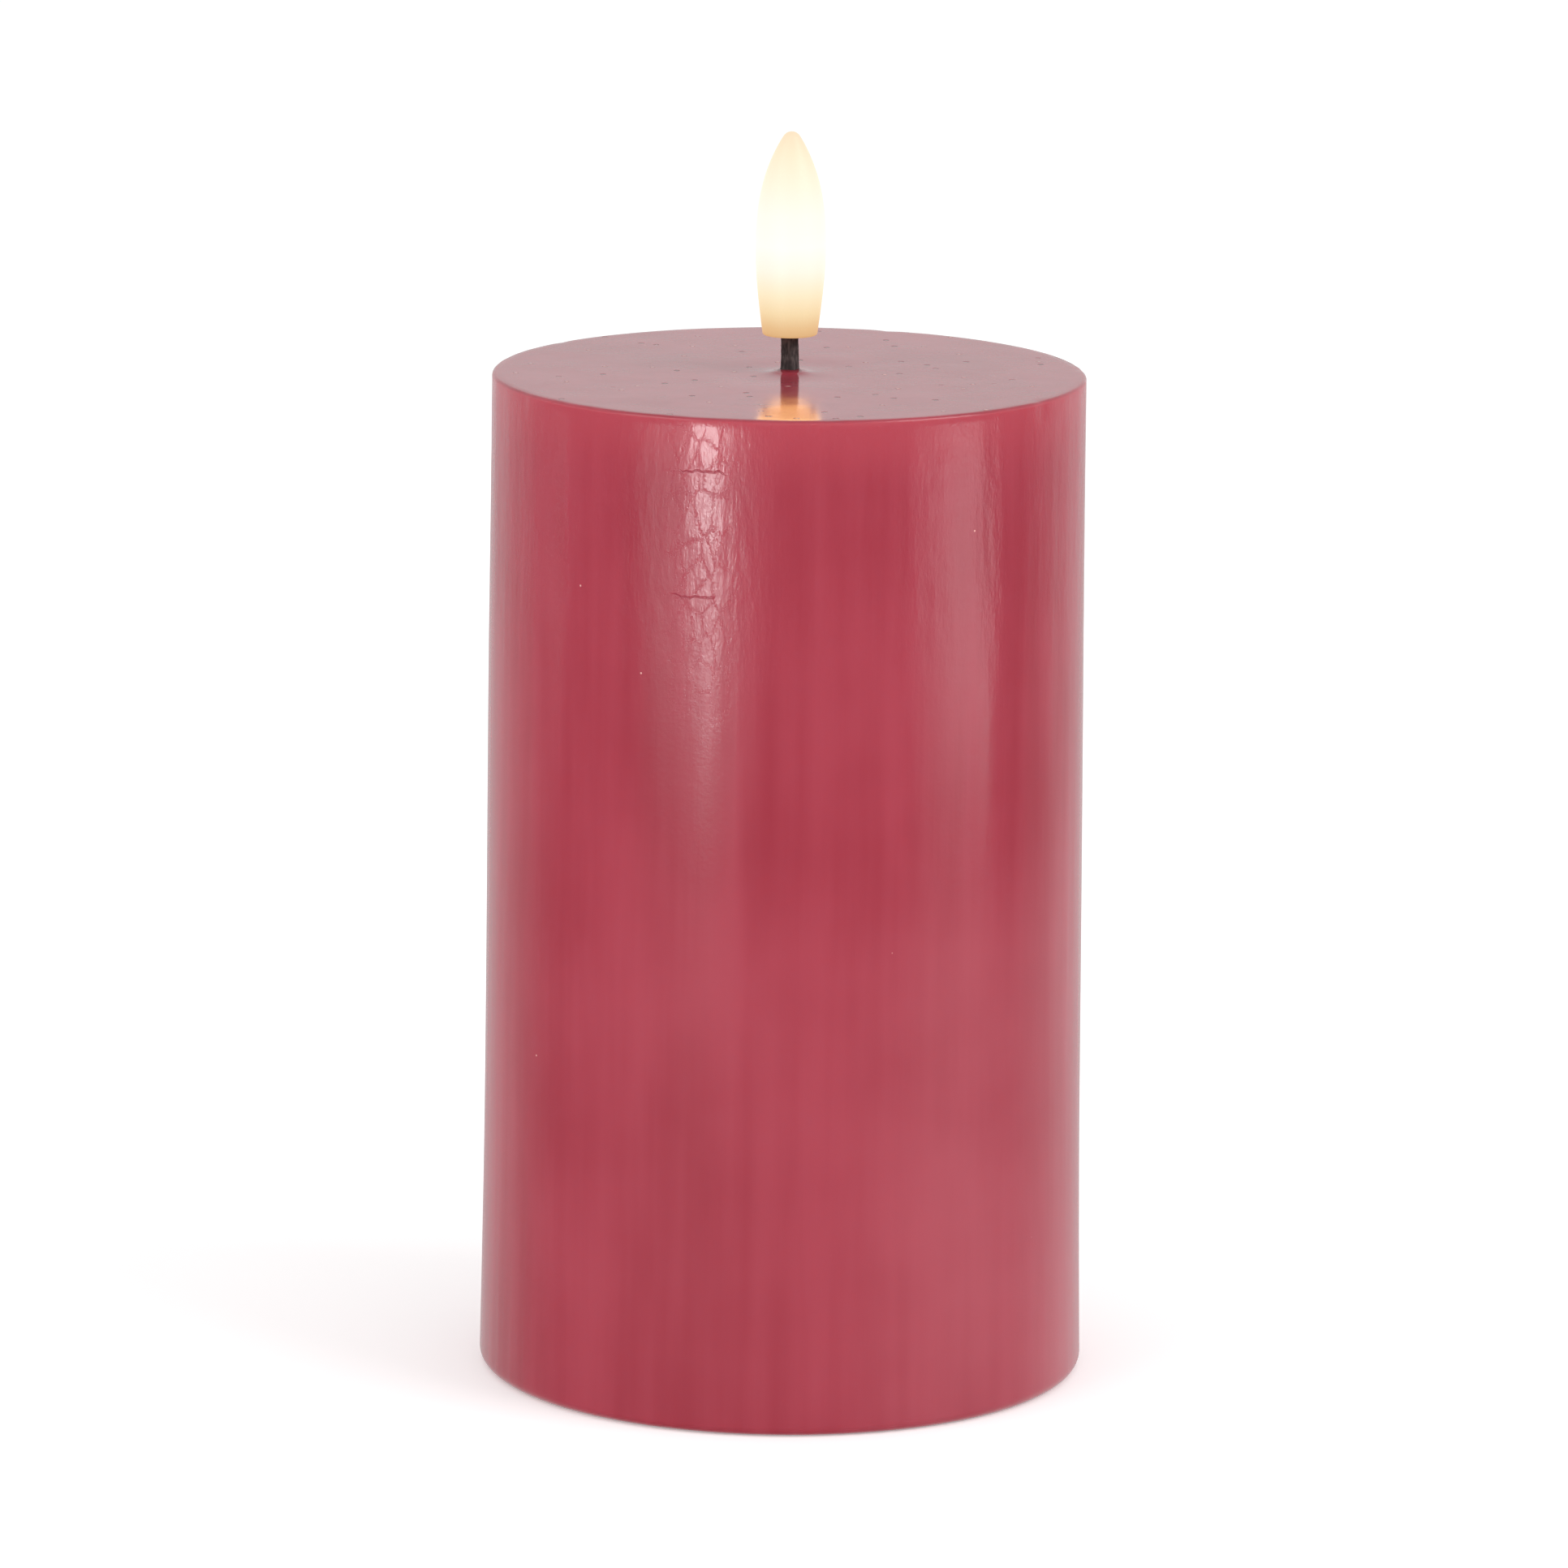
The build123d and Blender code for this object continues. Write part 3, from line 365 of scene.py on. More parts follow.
# %% Wax sizes
wax_height = wax_high.z
foot_radius = wax_high.x
side_draft = 1.1 * MM
foot_flare = 0.5 * MM
flare_height = 35 * MM
top_radius = foot_radius - side_draft
straight_foot = top_radius + (side_draft - foot_flare) * wax_height / (wax_height - flare_height)
wall = 3.6 * MM
shell_draft = 1.0 * MM
roof = 5.0 * MM
plate_top = 3.6 * MM
wick_radius = 1.1 * MM
inner_ring = 9 * MM
foot_round = 1.6 * MM
rim_round = 0.45 * MM
steps_round = 256
ring_spacing = 0.8 * MM

# %% Wax section
wax_mesh = bmesh.new()
section = [
    (foot_radius - wall, 0),
    (straight_foot, 0),
    (top_radius, wax_height),
    (inner_ring, wax_height),
    (wick_radius, wax_height),
    (wick_radius, wax_height - roof),
    (foot_radius - wall - shell_draft, wax_height - roof),
    (foot_radius - wall, plate_top),
]
corners = [wax_mesh.verts.new((radius, 0, height)) for radius, height in section]
for pair in zip(corners, corners[1:] + corners[:1]):
    wax_mesh.edges.new(pair)
for height, size, steps in ((0, foot_round, 7), (wax_height, rim_round, 5)):
    at_height = [point for point in wax_mesh.verts if abs(point.co.z - height) < 0.001 * MM]
    bmesh.ops.bevel(
        wax_mesh,
        geom=[max(at_height, key=lambda point: point.co.x)],
        offset=size,
        offset_type="OFFSET",
        affect="VERTICES",
        segments=steps,
        profile=0.5,
        material=-1,
    )
for edge in wax_mesh.edges[:]:
    cuts = int(edge.calc_length() / ring_spacing)
    beside_wick = max(point.co.x for point in edge.verts) < wick_radius + 0.1 * MM
    if cuts and not beside_wick:
        bmesh.ops.subdivide_edges(wax_mesh, edges=[edge], cuts=cuts)
bmesh.ops.spin(
    wax_mesh,
    geom=wax_mesh.verts[:] + wax_mesh.edges[:],
    axis=(0, 0, 1),
    cent=(0, 0, 0),
    steps=steps_round,
    angle=2 * math.pi,
    use_merge=True,
)
bmesh.ops.remove_doubles(wax_mesh, verts=wax_mesh.verts, dist=0.001 * MM)
bmesh.ops.recalc_face_normals(wax_mesh, faces=wax_mesh.faces)
print("wax:", len(wax_mesh.verts), "points")


# %% Wax relief
def cloud(point, size, stretch=1.0, seed=0.0):
    """Smooth noise from about -1 to 1 with patches of a size in metres, stretched upwards."""
    shift = Vector((seed, 3.1 * seed, -1.7 * seed))
    return noise.noise(Vector((point.x, point.y, point.z / stretch)) / size + shift)


def side_relief(point):
    """How far the side stands in or out, in metres."""
    flare = (foot_radius - straight_foot) * max(0.0, 1 - point.z / flare_height) ** 2
    swell = 0.16 * MM * cloud(point, 30 * MM, 1.6, 4.0)
    flow = 0.05 * MM * cloud(point, 3.2 * MM, 14.0, 9.0)
    waves = 0.022 * MM * cloud(point, 2.4 * MM, 1.1, 2.0)
    high = max(0.0, (point.z - 0.6 * wax_height) / (0.4 * wax_height))
    return flare + swell + flow * (0.5 + high) + waves * high


def top_relief(point):
    """How far the top stands up, in metres: a collar at the wick and faint ripples."""
    radius = math.hypot(point.x, point.y)
    collar = 0.55 * MM * math.exp(-(radius - wick_radius) / (0.75 * MM))
    dish = -0.07 * MM * math.exp(-(((radius - 6 * MM) / (4 * MM)) ** 2))
    ripple = 0.02 * MM * cloud(point, 6 * MM, 1.0, 6.0) + 0.005 * MM * cloud(point, 1.6 * MM, 1.0, 1.0)
    return collar + dish + ripple


# nicks in the rim: where, in degrees round from the front, and how deep, in mm
nicks = [(-128.0, 0.15), (57.0, 0.3), (8.0, 0.2), (-62.0, 0.12), (97.0, 0.12), (160.0, 0.2)]
nick_width = 1.6
nick_slope = Vector((0, 0, 0.6))
for vertex in wax_mesh.verts:
    point = vertex.co
    radius = math.hypot(point.x, point.y)
    outward = Vector((point.x, point.y, 0)) / radius
    on_top = point.z > wax_height - 0.01 * MM
    on_side = radius > top_radius - 1.0 * MM
    if on_top:
        fade = min(1.0, max(0.0, (top_radius - radius) / (3 * MM)))
        vertex.co.z += top_relief(point) * fade
    elif on_side:
        vertex.co += outward * side_relief(point)
    if on_side and point.z > wax_height - 2.5 * MM:
        azimuth = math.degrees(math.atan2(point.x, -point.y))
        for place, depth in nicks:
            away = (azimuth - place) / nick_width
            dip = depth * MM * math.exp(-away * away)
            vertex.co -= (outward + nick_slope) * dip * 0.5
for face in wax_mesh.faces:
    face.smooth = True
wax_data = mesh_from("wax_pillar", wax_mesh)
wax = place_in_scene("wax_pillar", wax_data)
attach(wax, "candle")
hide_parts("wax_body")
print("wax box in mm:", [round(side / MM, 2) for side in wax.dimensions])

# %% [markdown]
# ## Wax finish
# Dyed paraffin is glossy, a little duller towards the foot. Light goes a few millimetres into
# it. The colour is cloudy, with upright flow streaks and a scatter of pale specks. A band just
# under the rim is painted lighter, as light shining through the thin edge. Low down the wax is a
# little paler all round, and on the front right that paleness is a painted highlight. The pits
# on the top are painted darker, as shade in their hollows. The upper part has fine ripples,
# which break up the mirrored streak, a patch of crackle and two short hairline cracks. The gloss
# stays below 0.27, because the denoiser draws a line where a surface crosses that value.

# %% Wax material
wax_paint = Paint("rose_wax")
here = wax_paint.place()
east, north, up = wax_paint.axes(here)
cloudy = wax_paint.noise(here, 28.0, 3.0)
streaks = wax_paint.noise(wax_paint.place(stretch=(1, 1, 0.05)), 2.6, 4.0)
broad = wax_paint.noise(wax_paint.place(stretch=(1, 1, 0.12)), 9.0, 3.0)
grain = wax_paint.noise(here, 0.5, 2.0)
specks = wax_paint.dots(here, 7.5, 0.16)
# painted light: a band under the rim is made lighter, as light shining through the thin wax edge
painted_rim_glow = up.step(115.5, 125.0) * (1.0 - up.step(124.6, 124.9))
lower = up.step(70.0, 25.0)
on_top = up.step(124.6, 124.9)

deep = rgb(147, 48, 62)
soft = rgb(161, 62, 76)
pale = rgb(232, 178, 170)
# low down the wax is a little paler all round; on the front right the same tone is a painted highlight
pale_foot_and_highlight_tone = rgb(176, 96, 106)
paler_foot_and_painted_highlight = up.step(78.0, 46.0) * (0.06 + east.step(4.0, 26.0) * 0.32 * north.step(10.0, -12.0))
body = wax_paint.mix((cloudy * 1.3 + broad * 1.1 + streaks * 0.8 + 0.5).step(0.0, 1.0), deep, soft)
body = wax_paint.mix(paler_foot_and_painted_highlight * (1.0 + cloudy), body, pale_foot_and_highlight_tone)
body = wax_paint.mix(painted_rim_glow * 0.9, body, rgb(168, 66, 78))
body = wax_paint.mix(specks * 0.75, body, pale)

# two hairline cracks: each wanders at a level, from one place across to another, in mm
crack_depth = None
for level, left, right in ((118.6, -12.6, -8.0), (103.4, -13.2, -9.2)):
    wander = wax_paint.noise(wax_paint.place(stretch=(1, 1, 0.0)), 2.0, 4.0) * 1.8
    line = abs(up - level - wander).step(0.16, 0.02)
    line = line * east.step(left - 0.8, left) * east.step(right + 0.8, right) * north.step(5.0, -5.0)
    crack_depth = line if crack_depth is None else crack_depth.math("MAXIMUM", line)
body = wax_paint.mix(crack_depth * 0.35, body, rgb(120, 24, 44))

# pits, painted darker as shade in their hollows, and crumbs on the scraped top, and the crackle and
# ripples that split the streak of light
patchy = wax_paint.noise(here, 16.0, 1.0).step(-0.1, 0.1)
pits = wax_paint.dots(here, 8.5, 0.45, "2D") * on_top * patchy
crumbs = wax_paint.dots(wax_paint.place(turn=(0, 0, 0.7)), 11.0, 0.38, "2D") * on_top
# painted shade: the pits are darkened as shade in their hollows
body = wax_paint.mix(pits * 0.8, body, rgb(92, 24, 36))
body = wax_paint.mix(crumbs * 0.6, body, pale)
upper = up.step(80.0, 108.0) * (1.0 - on_top)
ripples = wax_paint.noise(wax_paint.place(stretch=(1, 1, 0.3)), 1.5, 5.0, 0.65)
cell_place = wax_paint.add(
    "VectorMath",
    {"operation": "ADD"},
    {0: wax_paint.place(stretch=(1, 1, 0.5)), 1: wax_paint.add("TexNoise", None, {"Vector": here}, 1)},
)
crackle = wax_paint.number(
    "TexVoronoi", {"feature": "DISTANCE_TO_EDGE"}, {"Vector": cell_place, "Scale": 1 / 2.0}
)
crackled = upper * east.step(-16.0, -13.0) * east.step(-5.0, -8.0) * north.step(5.0, -5.0)
grooves = crackle.step(0.06, 0.0) * crackled

relief = wax_paint.bump(grain * (1.0 - on_top * 0.6) + 0.5, 0.008)
relief = wax_paint.bump(streaks * (1.0 - on_top) + 0.5, 0.05, relief)
relief = wax_paint.bump(ripples * (upper + 0.02) + 0.5, 0.07, relief)
relief = wax_paint.bump(1.0 - grooves, 0.008, relief)
relief = wax_paint.bump(1.0 - crack_depth, 0.05, relief)
relief = wax_paint.bump(crumbs - pits + 0.5, 0.22, relief)
gloss = 0.175 + lower * 0.05 + streaks * 0.05 + cloudy * 0.04 - on_top * 0.04
wax_paint.set(
    Base_Color=body,
    Roughness=gloss,
    IOR=1.46,
    Subsurface_Weight=0.35,
    Subsurface_Radius=(1.0, 0.28, 0.22),
    Subsurface_Scale=2.2 * MM,
    Normal=relief,
)
wax_data.materials.append(wax_paint.material)

# %% [markdown]
# ## Wick
# The wick is a black sleeve with the grain of a twisted cord. It is a little thicker where
# it stands in the wax.

# %% Wick mesh
wick_low, wick_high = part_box("wick_tube")
wick_mesh = bmesh.new()
bmesh.ops.create_circle(wick_mesh, cap_ends=False, segments=48, radius=wick_radius)
ring = wick_mesh.edges[:]
levels = 90
rise = (wick_high.z - wick_low.z) / levels
for level in range(levels):
    grown = bmesh.ops.extrude_edge_only(wick_mesh, edges=ring)["geom"]
    edges = [item for item in grown if isinstance(item, bmesh.types.BMEdge)]
    ring = [edge for edge in edges if all(point in grown for point in edge.verts)]
    points = [item for item in grown if isinstance(item, bmesh.types.BMVert)]
    bmesh.ops.translate(wick_mesh, verts=points, vec=(0, 0, rise))
strands = 5
twist = 2 * math.pi / (9 * MM)
for vertex in wick_mesh.verts:
    vertex.co.z += wick_low.z
    angle = math.atan2(vertex.co.y, vertex.co.x)
    strand = math.cos(strands * angle + twist * vertex.co.z)
    above_wax = vertex.co.z - wax_height
    foot = 0.16 * math.exp(-max(0.0, above_wax) / (1.2 * MM)) if above_wax > -1 * MM else 0.0
    rough = 0.03 * noise.noise(vertex.co / (0.5 * MM))
    scale = 0.955 + 0.035 * strand + foot + rough
    vertex.co.x *= scale
    vertex.co.y *= scale
bmesh.ops.recalc_face_normals(wick_mesh, faces=wick_mesh.faces)
for face in wick_mesh.faces:
    face.smooth = True
wick_data = mesh_from("wick_sleeve", wick_mesh)
wick = place_in_scene("wick_sleeve", wick_data)
thicken = wick.modifiers.new("wall", "SOLIDIFY")
thicken.thickness = 0.3 * MM
thicken.offset = -1.0
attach(wick, "candle")
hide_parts("wick_tube")
print("wick:", len(wick_data.vertices), "points")

# %% Wick material
wick_paint = Paint("wick_black")
fibres = wick_paint.noise(wick_paint.place(stretch=(1, 1, 0.25)), 0.3, 3.0)
scuffs = wick_paint.noise(wick_paint.place(), 1.1, 2.0)
shade = wick_paint.mix((fibres * 1.5 + scuffs + 0.35).step(0.1, 0.9), rgb(38, 30, 30), rgb(92, 82, 80))
wick_relief = wick_paint.bump(fibres + 0.5, 0.06)
wick_paint.set(Base_Color=shade, Roughness=0.72 - fibres * 0.2, Normal=wick_relief)
wick_data.materials.append(wick_paint.material)

# %% [markdown]
# ## Flame
# The flame is a frosted plastic shell with a lamp inside its lower half. Where the lamp sits
# it is dazzling, and it falls off to a warm cream at the tip and to amber at the foot. The
# glow is painted by height. Its foot is much brighter than a screen can show, and that is
# seen only in the wax, which mirrors it as an amber patch: a small lamp that nothing but the
# wax takes light from stands in for it.

# %% Flame material
flame_low, flame_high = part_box("flame_diffuser")
flame_paint = Paint("frosted_flame")
height = flame_paint.axes(flame_paint.place(centre=(0, 0, flame_low.z)))[2]
share = height / ((flame_high.z - flame_low.z) / MM)
glow_stops = (
    (0.0, rgb(214, 172, 118)),
    (0.05, rgb(226, 190, 138)),
    (0.12, rgb(240, 218, 172)),
    (0.21, rgb(248, 236, 202)),
    (0.33, rgb(252, 250, 236)),
    (0.45, rgb(255, 255, 252)),
    (0.60, rgb(253, 252, 244)),
    (0.75, rgb(249, 244, 224)),
    (0.90, rgb(245, 233, 205)),
    (1.0, rgb(240, 222, 192)),
)
glow = flame_paint.ramp(share, glow_stops)
frost = flame_paint.noise(flame_paint.place(), 0.35, 2.0)
flame_paint.set(
    Base_Color=rgb(96, 84, 66),
    Roughness=0.5 + frost * 0.2,
    Emission_Color=glow,
    Emission_Strength=0.95,
    Coat_Weight=0.2,
    Coat_Roughness=0.35,
    Coat_IOR=1.2,
    Coat_Tint=(1.0, 0.84, 0.76, 1.0),
    Normal=flame_paint.bump(frost + 0.5, 0.02),
)
dress("flame_diffuser", flame_paint.material)

foot_light_rise = 3 * MM
foot_light = bpy.data.lights.new("flame_foot", "POINT")
foot_light.color = (1.0, 0.52, 0.16)
foot_light.energy = 0.0015
foot_light.shadow_soft_size = 4.1 * MM
foot_light.use_soft_falloff = False
foot_glow = place_in_scene("flame_foot", foot_light)
foot_glow.location = (0, 0, flame_low.z + foot_light_rise)
foot_glow.visible_diffuse = False
mirrors = bpy.data.collections.new("mirrors_of_the_flame")
mirrors.objects.link(wax)
foot_glow.light_linking.receiver_collection = mirrors

# %% [markdown]
# ## Plastic and metal
# The rest is mass-made: grained plastic mouldings, and sheet, wire and screws of plated
# steel. Two recipes cover most of it. Moulded plastic gets a fine pebble grain from the
# tool, slow flow clouds and dull rubbed patches. Rolled or drawn metal gets fine lines along
# the way it was worked and a cloudy tarnish.


# %% Two recipes
def moulded(name, colour, shade, gloss=0.45, grain=0.35, depth=0.02):
    """Moulded plastic of a colour that drifts towards a shade."""
    paint = Paint(name)
    clouds = paint.noise(paint.place(), 14.0)
    pebbles = paint.noise(paint.place(), grain, 2.0)
    rubbed = paint.noise(paint.place(stretch=(1, 0.15, 0.3), turn=(0.3, 0.5, 0.2)), 1.8)
    paint.set(
        Base_Color=paint.mix((clouds * 1.4 + 0.5).step(0, 1), colour, shade),
        Roughness=gloss + clouds * 0.12 - rubbed.step(0.12, 0.3) * 0.1,
        Normal=paint.bump(pebbles + 0.5, depth),
    )
    return paint


def rolled(name, colour, gloss=0.28, along=(0.05, 1, 1), size=0.25):
    """Metal with drawing lines; the way they run is the one that `along` stretches."""
    paint = Paint(name)
    lines = paint.noise(paint.place(stretch=along), size, 4.0)
    tarnish = paint.noise(paint.place(), 3.5)
    dull = tuple(0.62 * channel for channel in colour[:3]) + (1.0,)
    paint.set(
        Base_Color=paint.mix((tarnish * 1.5 + lines + 0.3).step(0, 1), colour, dull),
        Metallic=1.0,
        Roughness=gloss + lines * 0.25 + tarnish * 0.15,
        Normal=paint.bump(lines + 0.5, 0.006),
    )
    return paint


def middle(node_name):
    """The middle of a node's box, in metres."""
    low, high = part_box(node_name)
    return (low + high) / 2


# %% Plain plastic and metal pieces
base_plastic = moulded("ivory_grained", rgb(232, 226, 210), rgb(222, 213, 194), 0.5, 0.3, 0.03)
shell_plastic = moulded("white_moulding", rgb(238, 236, 229), rgb(226, 223, 214), 0.42)
black_plastic = moulded("black_nylon", rgb(34, 34, 37), rgb(46, 46, 50), 0.52, 0.25)
plating = rolled("bright_nickel", rgb(206, 200, 188), 0.24, (1, 1, 0.05))
zinc = rolled("zinc_plate", rgb(182, 184, 188), 0.34, (1, 0.3, 1), 0.9)
steel = rolled("screw_steel", rgb(160, 161, 164), 0.32, (1, 1, 1), 0.5)
for node_name, paint in (
    ("base_housing", base_plastic),
    ("battery_door", base_plastic),
    ("door_latch", base_plastic),
    ("inner_shell", shell_plastic),
    ("wick_bushing", shell_plastic),
    ("flame_collar", shell_plastic),
    ("switch_knob", black_plastic),
    ("bridge_contact", plating),
    ("positive_contact", plating),
    ("negative_contact", plating),
    ("switch_pins", plating),
    ("crystal", plating),
    ("led_leads", plating),
    ("switch_case", zinc),
    ("base_screws", steel),
    ("board_screws", steel),
    ("wick_retainer", steel),
):
    dress(node_name, paint.material)
print("dressed the plastic and the metal")

# %% [markdown]
# ## Cells
# A cell is a steel can in a printed jacket. The jacket is shrunk a little over both ends, and
# inside its edge the bare can shows. Its print here is generic: a dark body, a copper band
# at the nub's end and two thin pale rings. Everything is set out along the cell's own axis,
# so the two cells share one recipe, with the direction of the nub as its only difference.


# %% Cell material
copper_end = 13.0
ring_places = (13.6, 45.0)


def jacket(name, node_name, nub_side):
    """Dresses a cell; nub_side is 1 where its nub points to +X and -1 where to -X."""
    low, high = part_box(node_name)
    axis = (low + high) / 2
    paint = Paint(name)
    along, across, rise = paint.axes(paint.place(centre=(0, axis.y, axis.z)))
    nub_end = max(abs(low.x), abs(high.x)) / MM
    from_nub = nub_end - along * nub_side
    radius = (across * across + rise * rise) ** 0.5
    length = (high.x - low.x) / MM
    near_end = (abs(from_nub - length / 2)).step(length / 2 - 1.3, length / 2 - 1.2)
    bare = near_end * radius.step(6.4, 6.2)
    copper = from_nub.step(copper_end, copper_end - 0.1)
    near_ring, far_ring = (abs(from_nub - at).step(0.25, 0.2) for at in ring_places)
    ring = near_ring.math("MAXIMUM", far_ring)
    wear = paint.noise(paint.place(stretch=(0.3, 1, 1)), 0.9, 4.0)
    colour = paint.mix(copper, rgb(38, 41, 46), rgb(176, 112, 62))
    colour = paint.mix(ring, colour, rgb(222, 220, 212))
    colour = paint.mix(wear.step(0.2, 0.34) * 0.25, colour, rgb(150, 148, 142))
    colour = paint.mix(bare, colour, rgb(200, 197, 190))
    paint.set(
        Base_Color=colour,
        Metallic=copper.math("MAXIMUM", bare) * 0.9,
        Roughness=0.32 + wear * 0.16 - bare * 0.05,
        Normal=paint.bump(wear + 0.5, 0.008),
    )
    dress(node_name, paint.material)


jacket("front_jacket", "battery_front", -1)
jacket("rear_jacket", "battery_rear", 1)
print("dressed the two cells")

# %% [markdown]
# ## Circuit board
# The board is glass fibre under green lacquer. Tracks show through the lacquer as slightly
# lighter lines, tinned rings stand round the holes, and the cut edge is bare straw-coloured
# laminate. The small parts on it each have metal ends or legs and a dark or sleeved body,
# told apart by their place along one axis.

# %% Board material
board_low, board_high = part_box("circuit_board")
board_middle = (board_low + board_high) / 2
board_paint = Paint("green_board")
board_place = board_paint.place(centre=board_middle)
side_way, depth_way = board_paint.axes(board_place)[:2]
half_length = (board_high.x - board_low.x) / 2 / MM
half_width = (board_high.y - board_low.y) / 2 / MM
bends = side_way + abs(side_way - 2.0) * 0.45
weave = board_paint.noise(board_place, 0.45, 2.0)
tracks = abs((depth_way + bends * 0.35).math("PINGPONG", 0.8) - 0.4).step(0.16, 0.22)
tracks = tracks * abs(side_way).step(half_length - 2.2, half_length - 2.6)
edge = abs(side_way).step(half_length - 0.08, half_length - 0.03)
edge = edge.math("MAXIMUM", abs(depth_way).step(half_width - 0.08, half_width - 0.03))
pads = None
for pad_x, pad_y, pad_radius in (
    *((pitch, -0.6, 0.85) for pitch in (-4.5, -1.5, 1.5, 4.5)),
    *((2 * sign, -4.4, 0.8) for sign in (-0.65, 0.65)),
    (-11.2, -1.6, 1.2),
    (11.2, -1.8, 1.2),
    (-10.5, 3.8, 1.75),
    (10.5, 3.8, 1.75),
):
    reach = ((side_way - pad_x) * (side_way - pad_x) + (depth_way - pad_y) * (depth_way - pad_y)) ** 0.5
    pad = reach.step(pad_radius, pad_radius - 0.06)
    pads = pads.math("MAXIMUM", pad) if pads else pad
lacquer = board_paint.mix(tracks * 0.6, rgb(22, 84, 46), rgb(40, 118, 66))
lacquer = board_paint.mix((weave + 0.5) * 0.18, lacquer, rgb(14, 60, 32))
lacquer = board_paint.mix(pads, lacquer, rgb(204, 204, 202))
lacquer = board_paint.mix(edge, lacquer, rgb(196, 182, 128))
board_paint.set(
    Base_Color=lacquer,
    Metallic=pads * 0.9,
    Roughness=0.28 + weave * 0.1 + edge * 0.4,
    Normal=board_paint.bump(tracks + pads * 2.0, 0.03),
)
dress("circuit_board", board_paint.material)


# %% Parts on the board
def small_part(name, node_name, body_colour, bare, gloss):
    """Dresses a part; `bare` is a function of the place in mm that is 1 on bare metal."""
    paint = Paint(name)
    place = paint.place(centre=middle(node_name))
    metal = bare(paint.axes(place))
    mottle = paint.noise(place, 0.4, 3.0)
    paint.set(
        Base_Color=paint.mix(metal, body_colour, rgb(202, 202, 200)),
        Metallic=metal * 0.95,
        Roughness=gloss + mottle * 0.12 - metal * 0.12,
        Normal=paint.bump(mottle + 0.5, 0.01),
    )
    dress(node_name, paint.material)


def chip_legs(place):
    return abs(place[1]).step(1.78, 1.82)


def resistor_ends(place):
    return abs(place[0]).step(1.1, 1.15)


def can_top(place):
    x, y, z = place
    return z.step(3.25, 3.3) * (x * x + y * y).step(4.5, 4.2)


small_part("chip_epoxy", "timer_chip", rgb(32, 33, 35), chip_legs, 0.5)
small_part("chip_resistor", "resistors", rgb(28, 29, 32), resistor_ends, 0.3)
small_part("capacitor_sleeve", "capacitor", rgb(24, 30, 58), can_top, 0.26)
print("dressed the board and its parts")


# %% Wires and lamp
def flex(name, colour, shade):
    paint = moulded(name, colour, shade, 0.34, 0.8, 0.015)
    return paint.material


red_flex = flex("red_flex", rgb(176, 28, 24), rgb(150, 20, 18))
black_flex = flex("black_flex", rgb(26, 26, 28), rgb(38, 38, 40))
for wire in ("lamp_wire", "battery_wire"):
    dress(f"{wire}_red", red_flex)
    dress(f"{wire}_black", black_flex)

resin_paint = Paint("warm_resin")
resin_rise = resin_paint.axes(resin_paint.place(centre=middle("led_lamp")))[2]
resin_paint.set(
    Base_Color=resin_paint.mix(resin_rise.step(-2.6, 0.5), rgb(236, 214, 150), rgb(250, 240, 214)),
    Roughness=0.16 + resin_paint.noise(resin_paint.place(), 0.6) * 0.08,
    Emission_Color=resin_paint.mix(resin_rise.step(-2.0, 1.0), rgb(250, 190, 110), rgb(255, 236, 190)),
    Emission_Strength=2.0,
)
dress("led_lamp", resin_paint.material)

# %% [markdown]
# ## Contact springs
# A conical spring presses on the flat end of each cell; the real one shortens when the cell
# moves. Each coil here is a mesh of its own, made at one length: a small ring is spun three
# turns while it moves along the cell's axis, and then every point is drawn in towards the
# axis, more the further it is from the plate.

# %% Springs
spring_turns = 3
steps_a_turn = 40
plate_x = 27.6 * MM
spring_length = 4.2 * MM
spring_wire = 0.35 * MM
wide, narrow = 4.6 * MM, 2.4 * MM


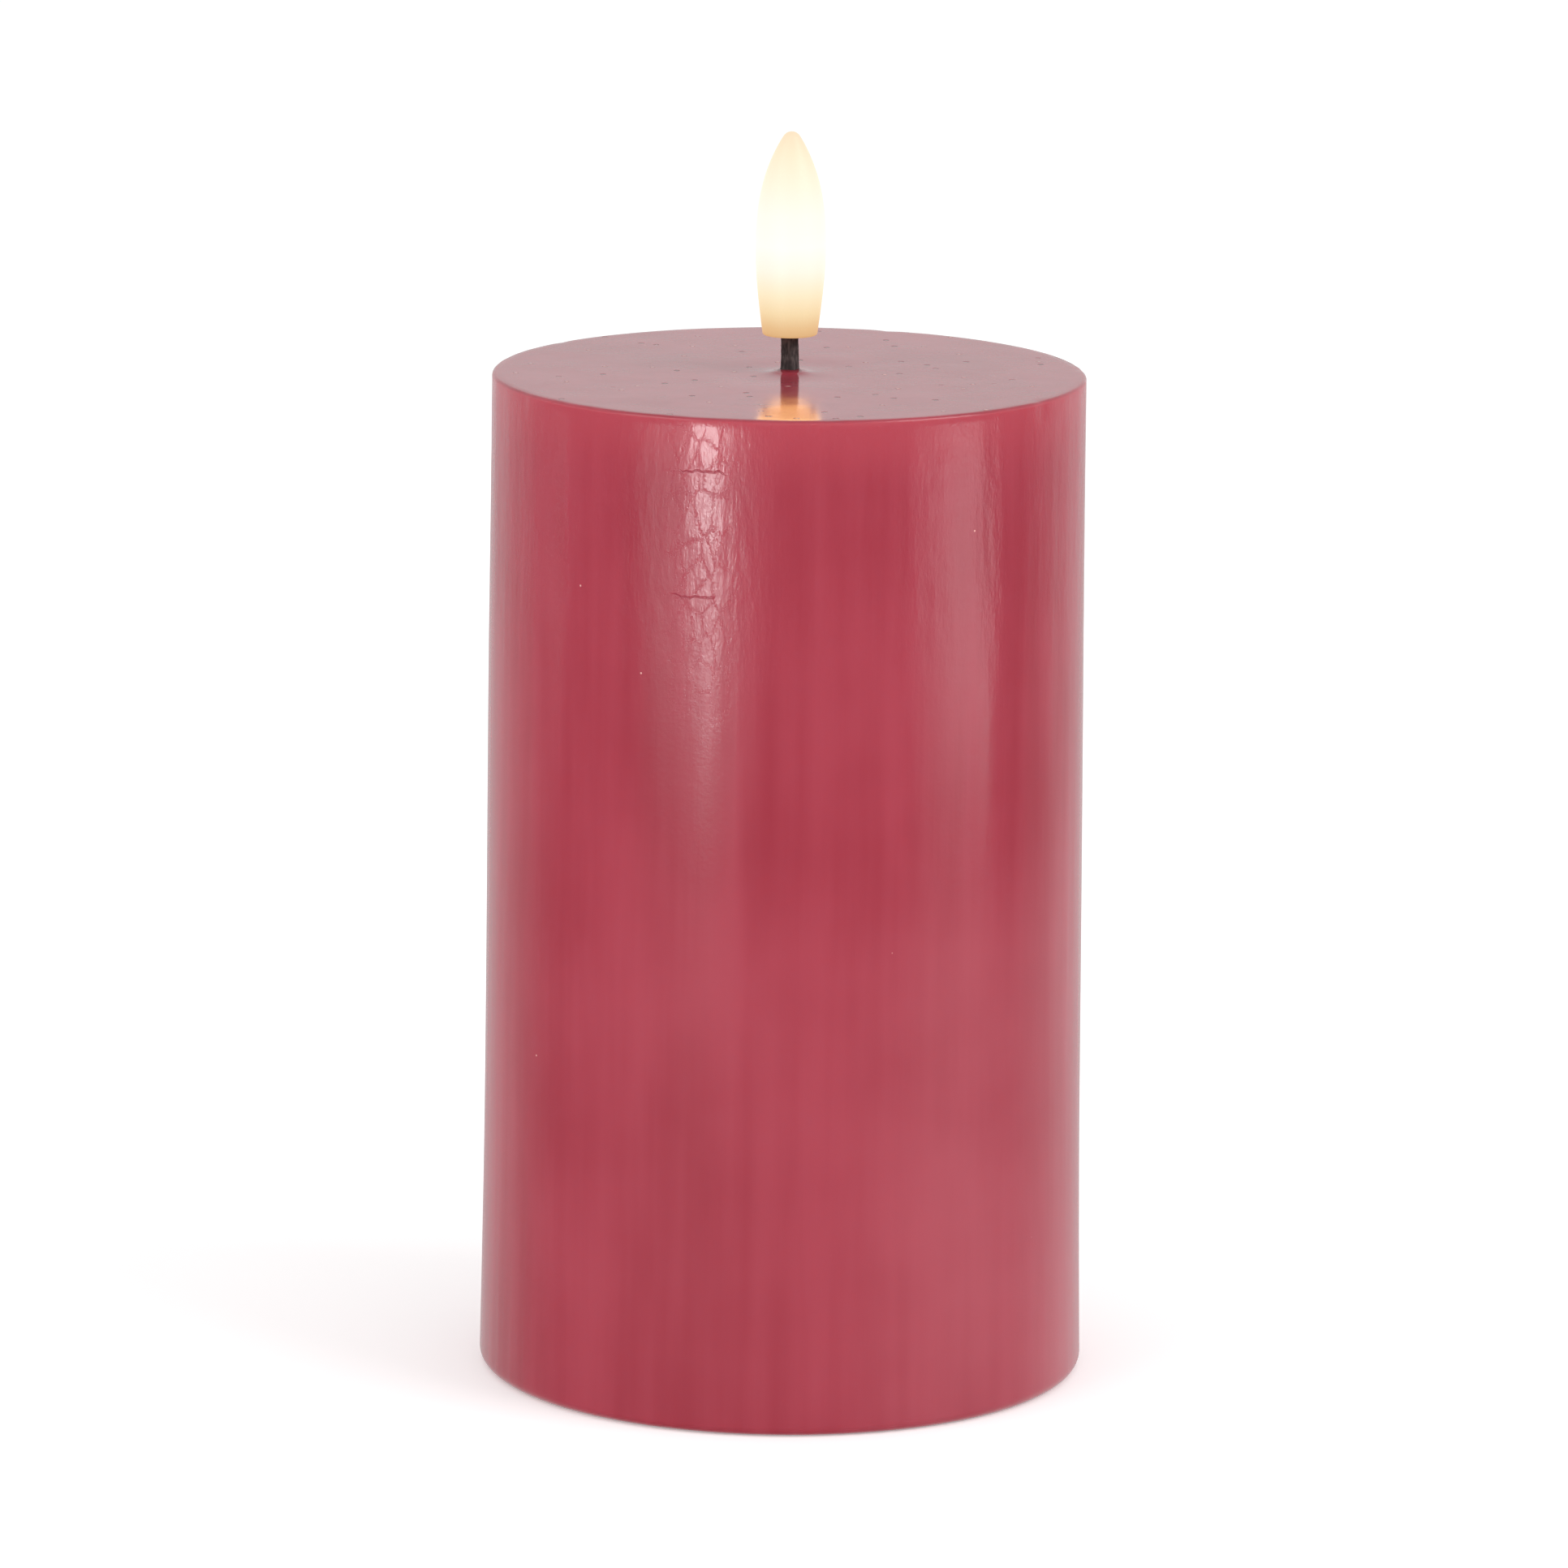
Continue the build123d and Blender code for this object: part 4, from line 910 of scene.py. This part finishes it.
def spring(name, node_name, side):
    """A cone of wire on the plate at one end of the cells; side is 1 at +X and -1 at -X."""
    axis = middle(node_name)
    coil = bmesh.new()
    ring = bmesh.ops.create_circle(coil, cap_ends=True, segments=14, radius=spring_wire)["verts"]
    stand = Matrix.Translation((spring_wire, 0, wide)) @ Matrix.Rotation(math.pi / 2, 4, "X")
    bmesh.ops.transform(coil, matrix=stand, verts=ring)
    rise = spring_length - 2 * spring_wire
    steps = spring_turns * steps_a_turn
    bmesh.ops.spin(
        coil,
        geom=coil.faces[:],
        axis=(1, 0, 0),
        cent=(0, 0, 0),
        dvec=(rise / steps, 0, 0),
        steps=steps,
        angle=2 * math.pi * spring_turns,
    )
    for vertex in coil.verts:
        reach = Vector((0, vertex.co.y, vertex.co.z))
        share = min(1.0, max(0.0, (vertex.co.x - spring_wire) / rise))
        vertex.co -= reach.normalized() * (wide - narrow) * share
    turn = Matrix.Rotation(math.pi if side > 0 else 0, 4, "Z")
    place = Matrix.Translation((side * plate_x, axis.y, axis.z))
    bmesh.ops.transform(coil, matrix=place @ turn, verts=coil.verts)
    bmesh.ops.recalc_face_normals(coil, faces=coil.faces)
    for face in coil.faces:
        face.smooth = len(face.verts) == 4
    mesh = mesh_from(name, coil)
    mesh.materials.append(spring_metal.material)
    piece = place_in_scene(name, mesh)
    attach(piece, "candle")
    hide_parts(node_name)
    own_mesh(piece)
    print(name, "in mm:", [round(length / MM, 2) for length in piece.dimensions])


spring_metal = rolled("spring_wire", rgb(206, 200, 188), 0.26, (1, 1, 1), 0.3)
spring("spring_on_bridge", "bridge_spring", 1)
spring("spring_on_minus", "negative_spring", -1)

# %% [markdown]
# ## Switch marks
# Two small raised marks beside the switch show which way is on: a bar and a ring, with no
# words. They are extruded from the base plate's underside.

# %% Marks
switch_middle = middle("switch_case")
base_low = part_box("base_housing")[0]
mark_rise = 0.2 * MM
mark_reach = 9.6 * MM
bar_size = Matrix.Diagonal((0.5 * MM, 2.4 * MM, 1, 1))
bar_place = Matrix.Translation((-mark_reach, 0, 0)) @ bar_size
ring_place = Matrix.Translation((mark_reach, 0, 0))
ring_radius = 1.25 * MM
ring_width = 0.45 * MM
marks = bmesh.new()
bmesh.ops.create_circle(
    marks, cap_ends=True, segments=40, radius=ring_radius, matrix=ring_place
)
disc = marks.faces[:]
bmesh.ops.inset_region(marks, faces=disc, thickness=ring_width, use_boundary=True)
bmesh.ops.delete(marks, geom=disc, context="FACES")
bmesh.ops.create_grid(marks, x_segments=1, y_segments=1, size=0.5, matrix=bar_place)
raised = bmesh.ops.extrude_face_region(marks, geom=marks.faces[:])["geom"]
tops = [item for item in raised if isinstance(item, bmesh.types.BMVert)]
bmesh.ops.translate(marks, vec=(0, 0, -mark_rise), verts=tops)
bmesh.ops.translate(marks, vec=(0, switch_middle.y, base_low.z), verts=marks.verts)
bmesh.ops.recalc_face_normals(marks, faces=marks.faces)
mark_data = mesh_from("switch_marks", marks)
mark_data.materials.append(base_plastic.material)
switch_marks = place_in_scene("switch_marks", mark_data)
soften = switch_marks.modifiers.new("soft_edges", "BEVEL")
soften.width = 0.06 * MM
soften.segments = 2
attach(switch_marks, "candle")
print("switch marks:", len(mark_data.polygons), "faces")
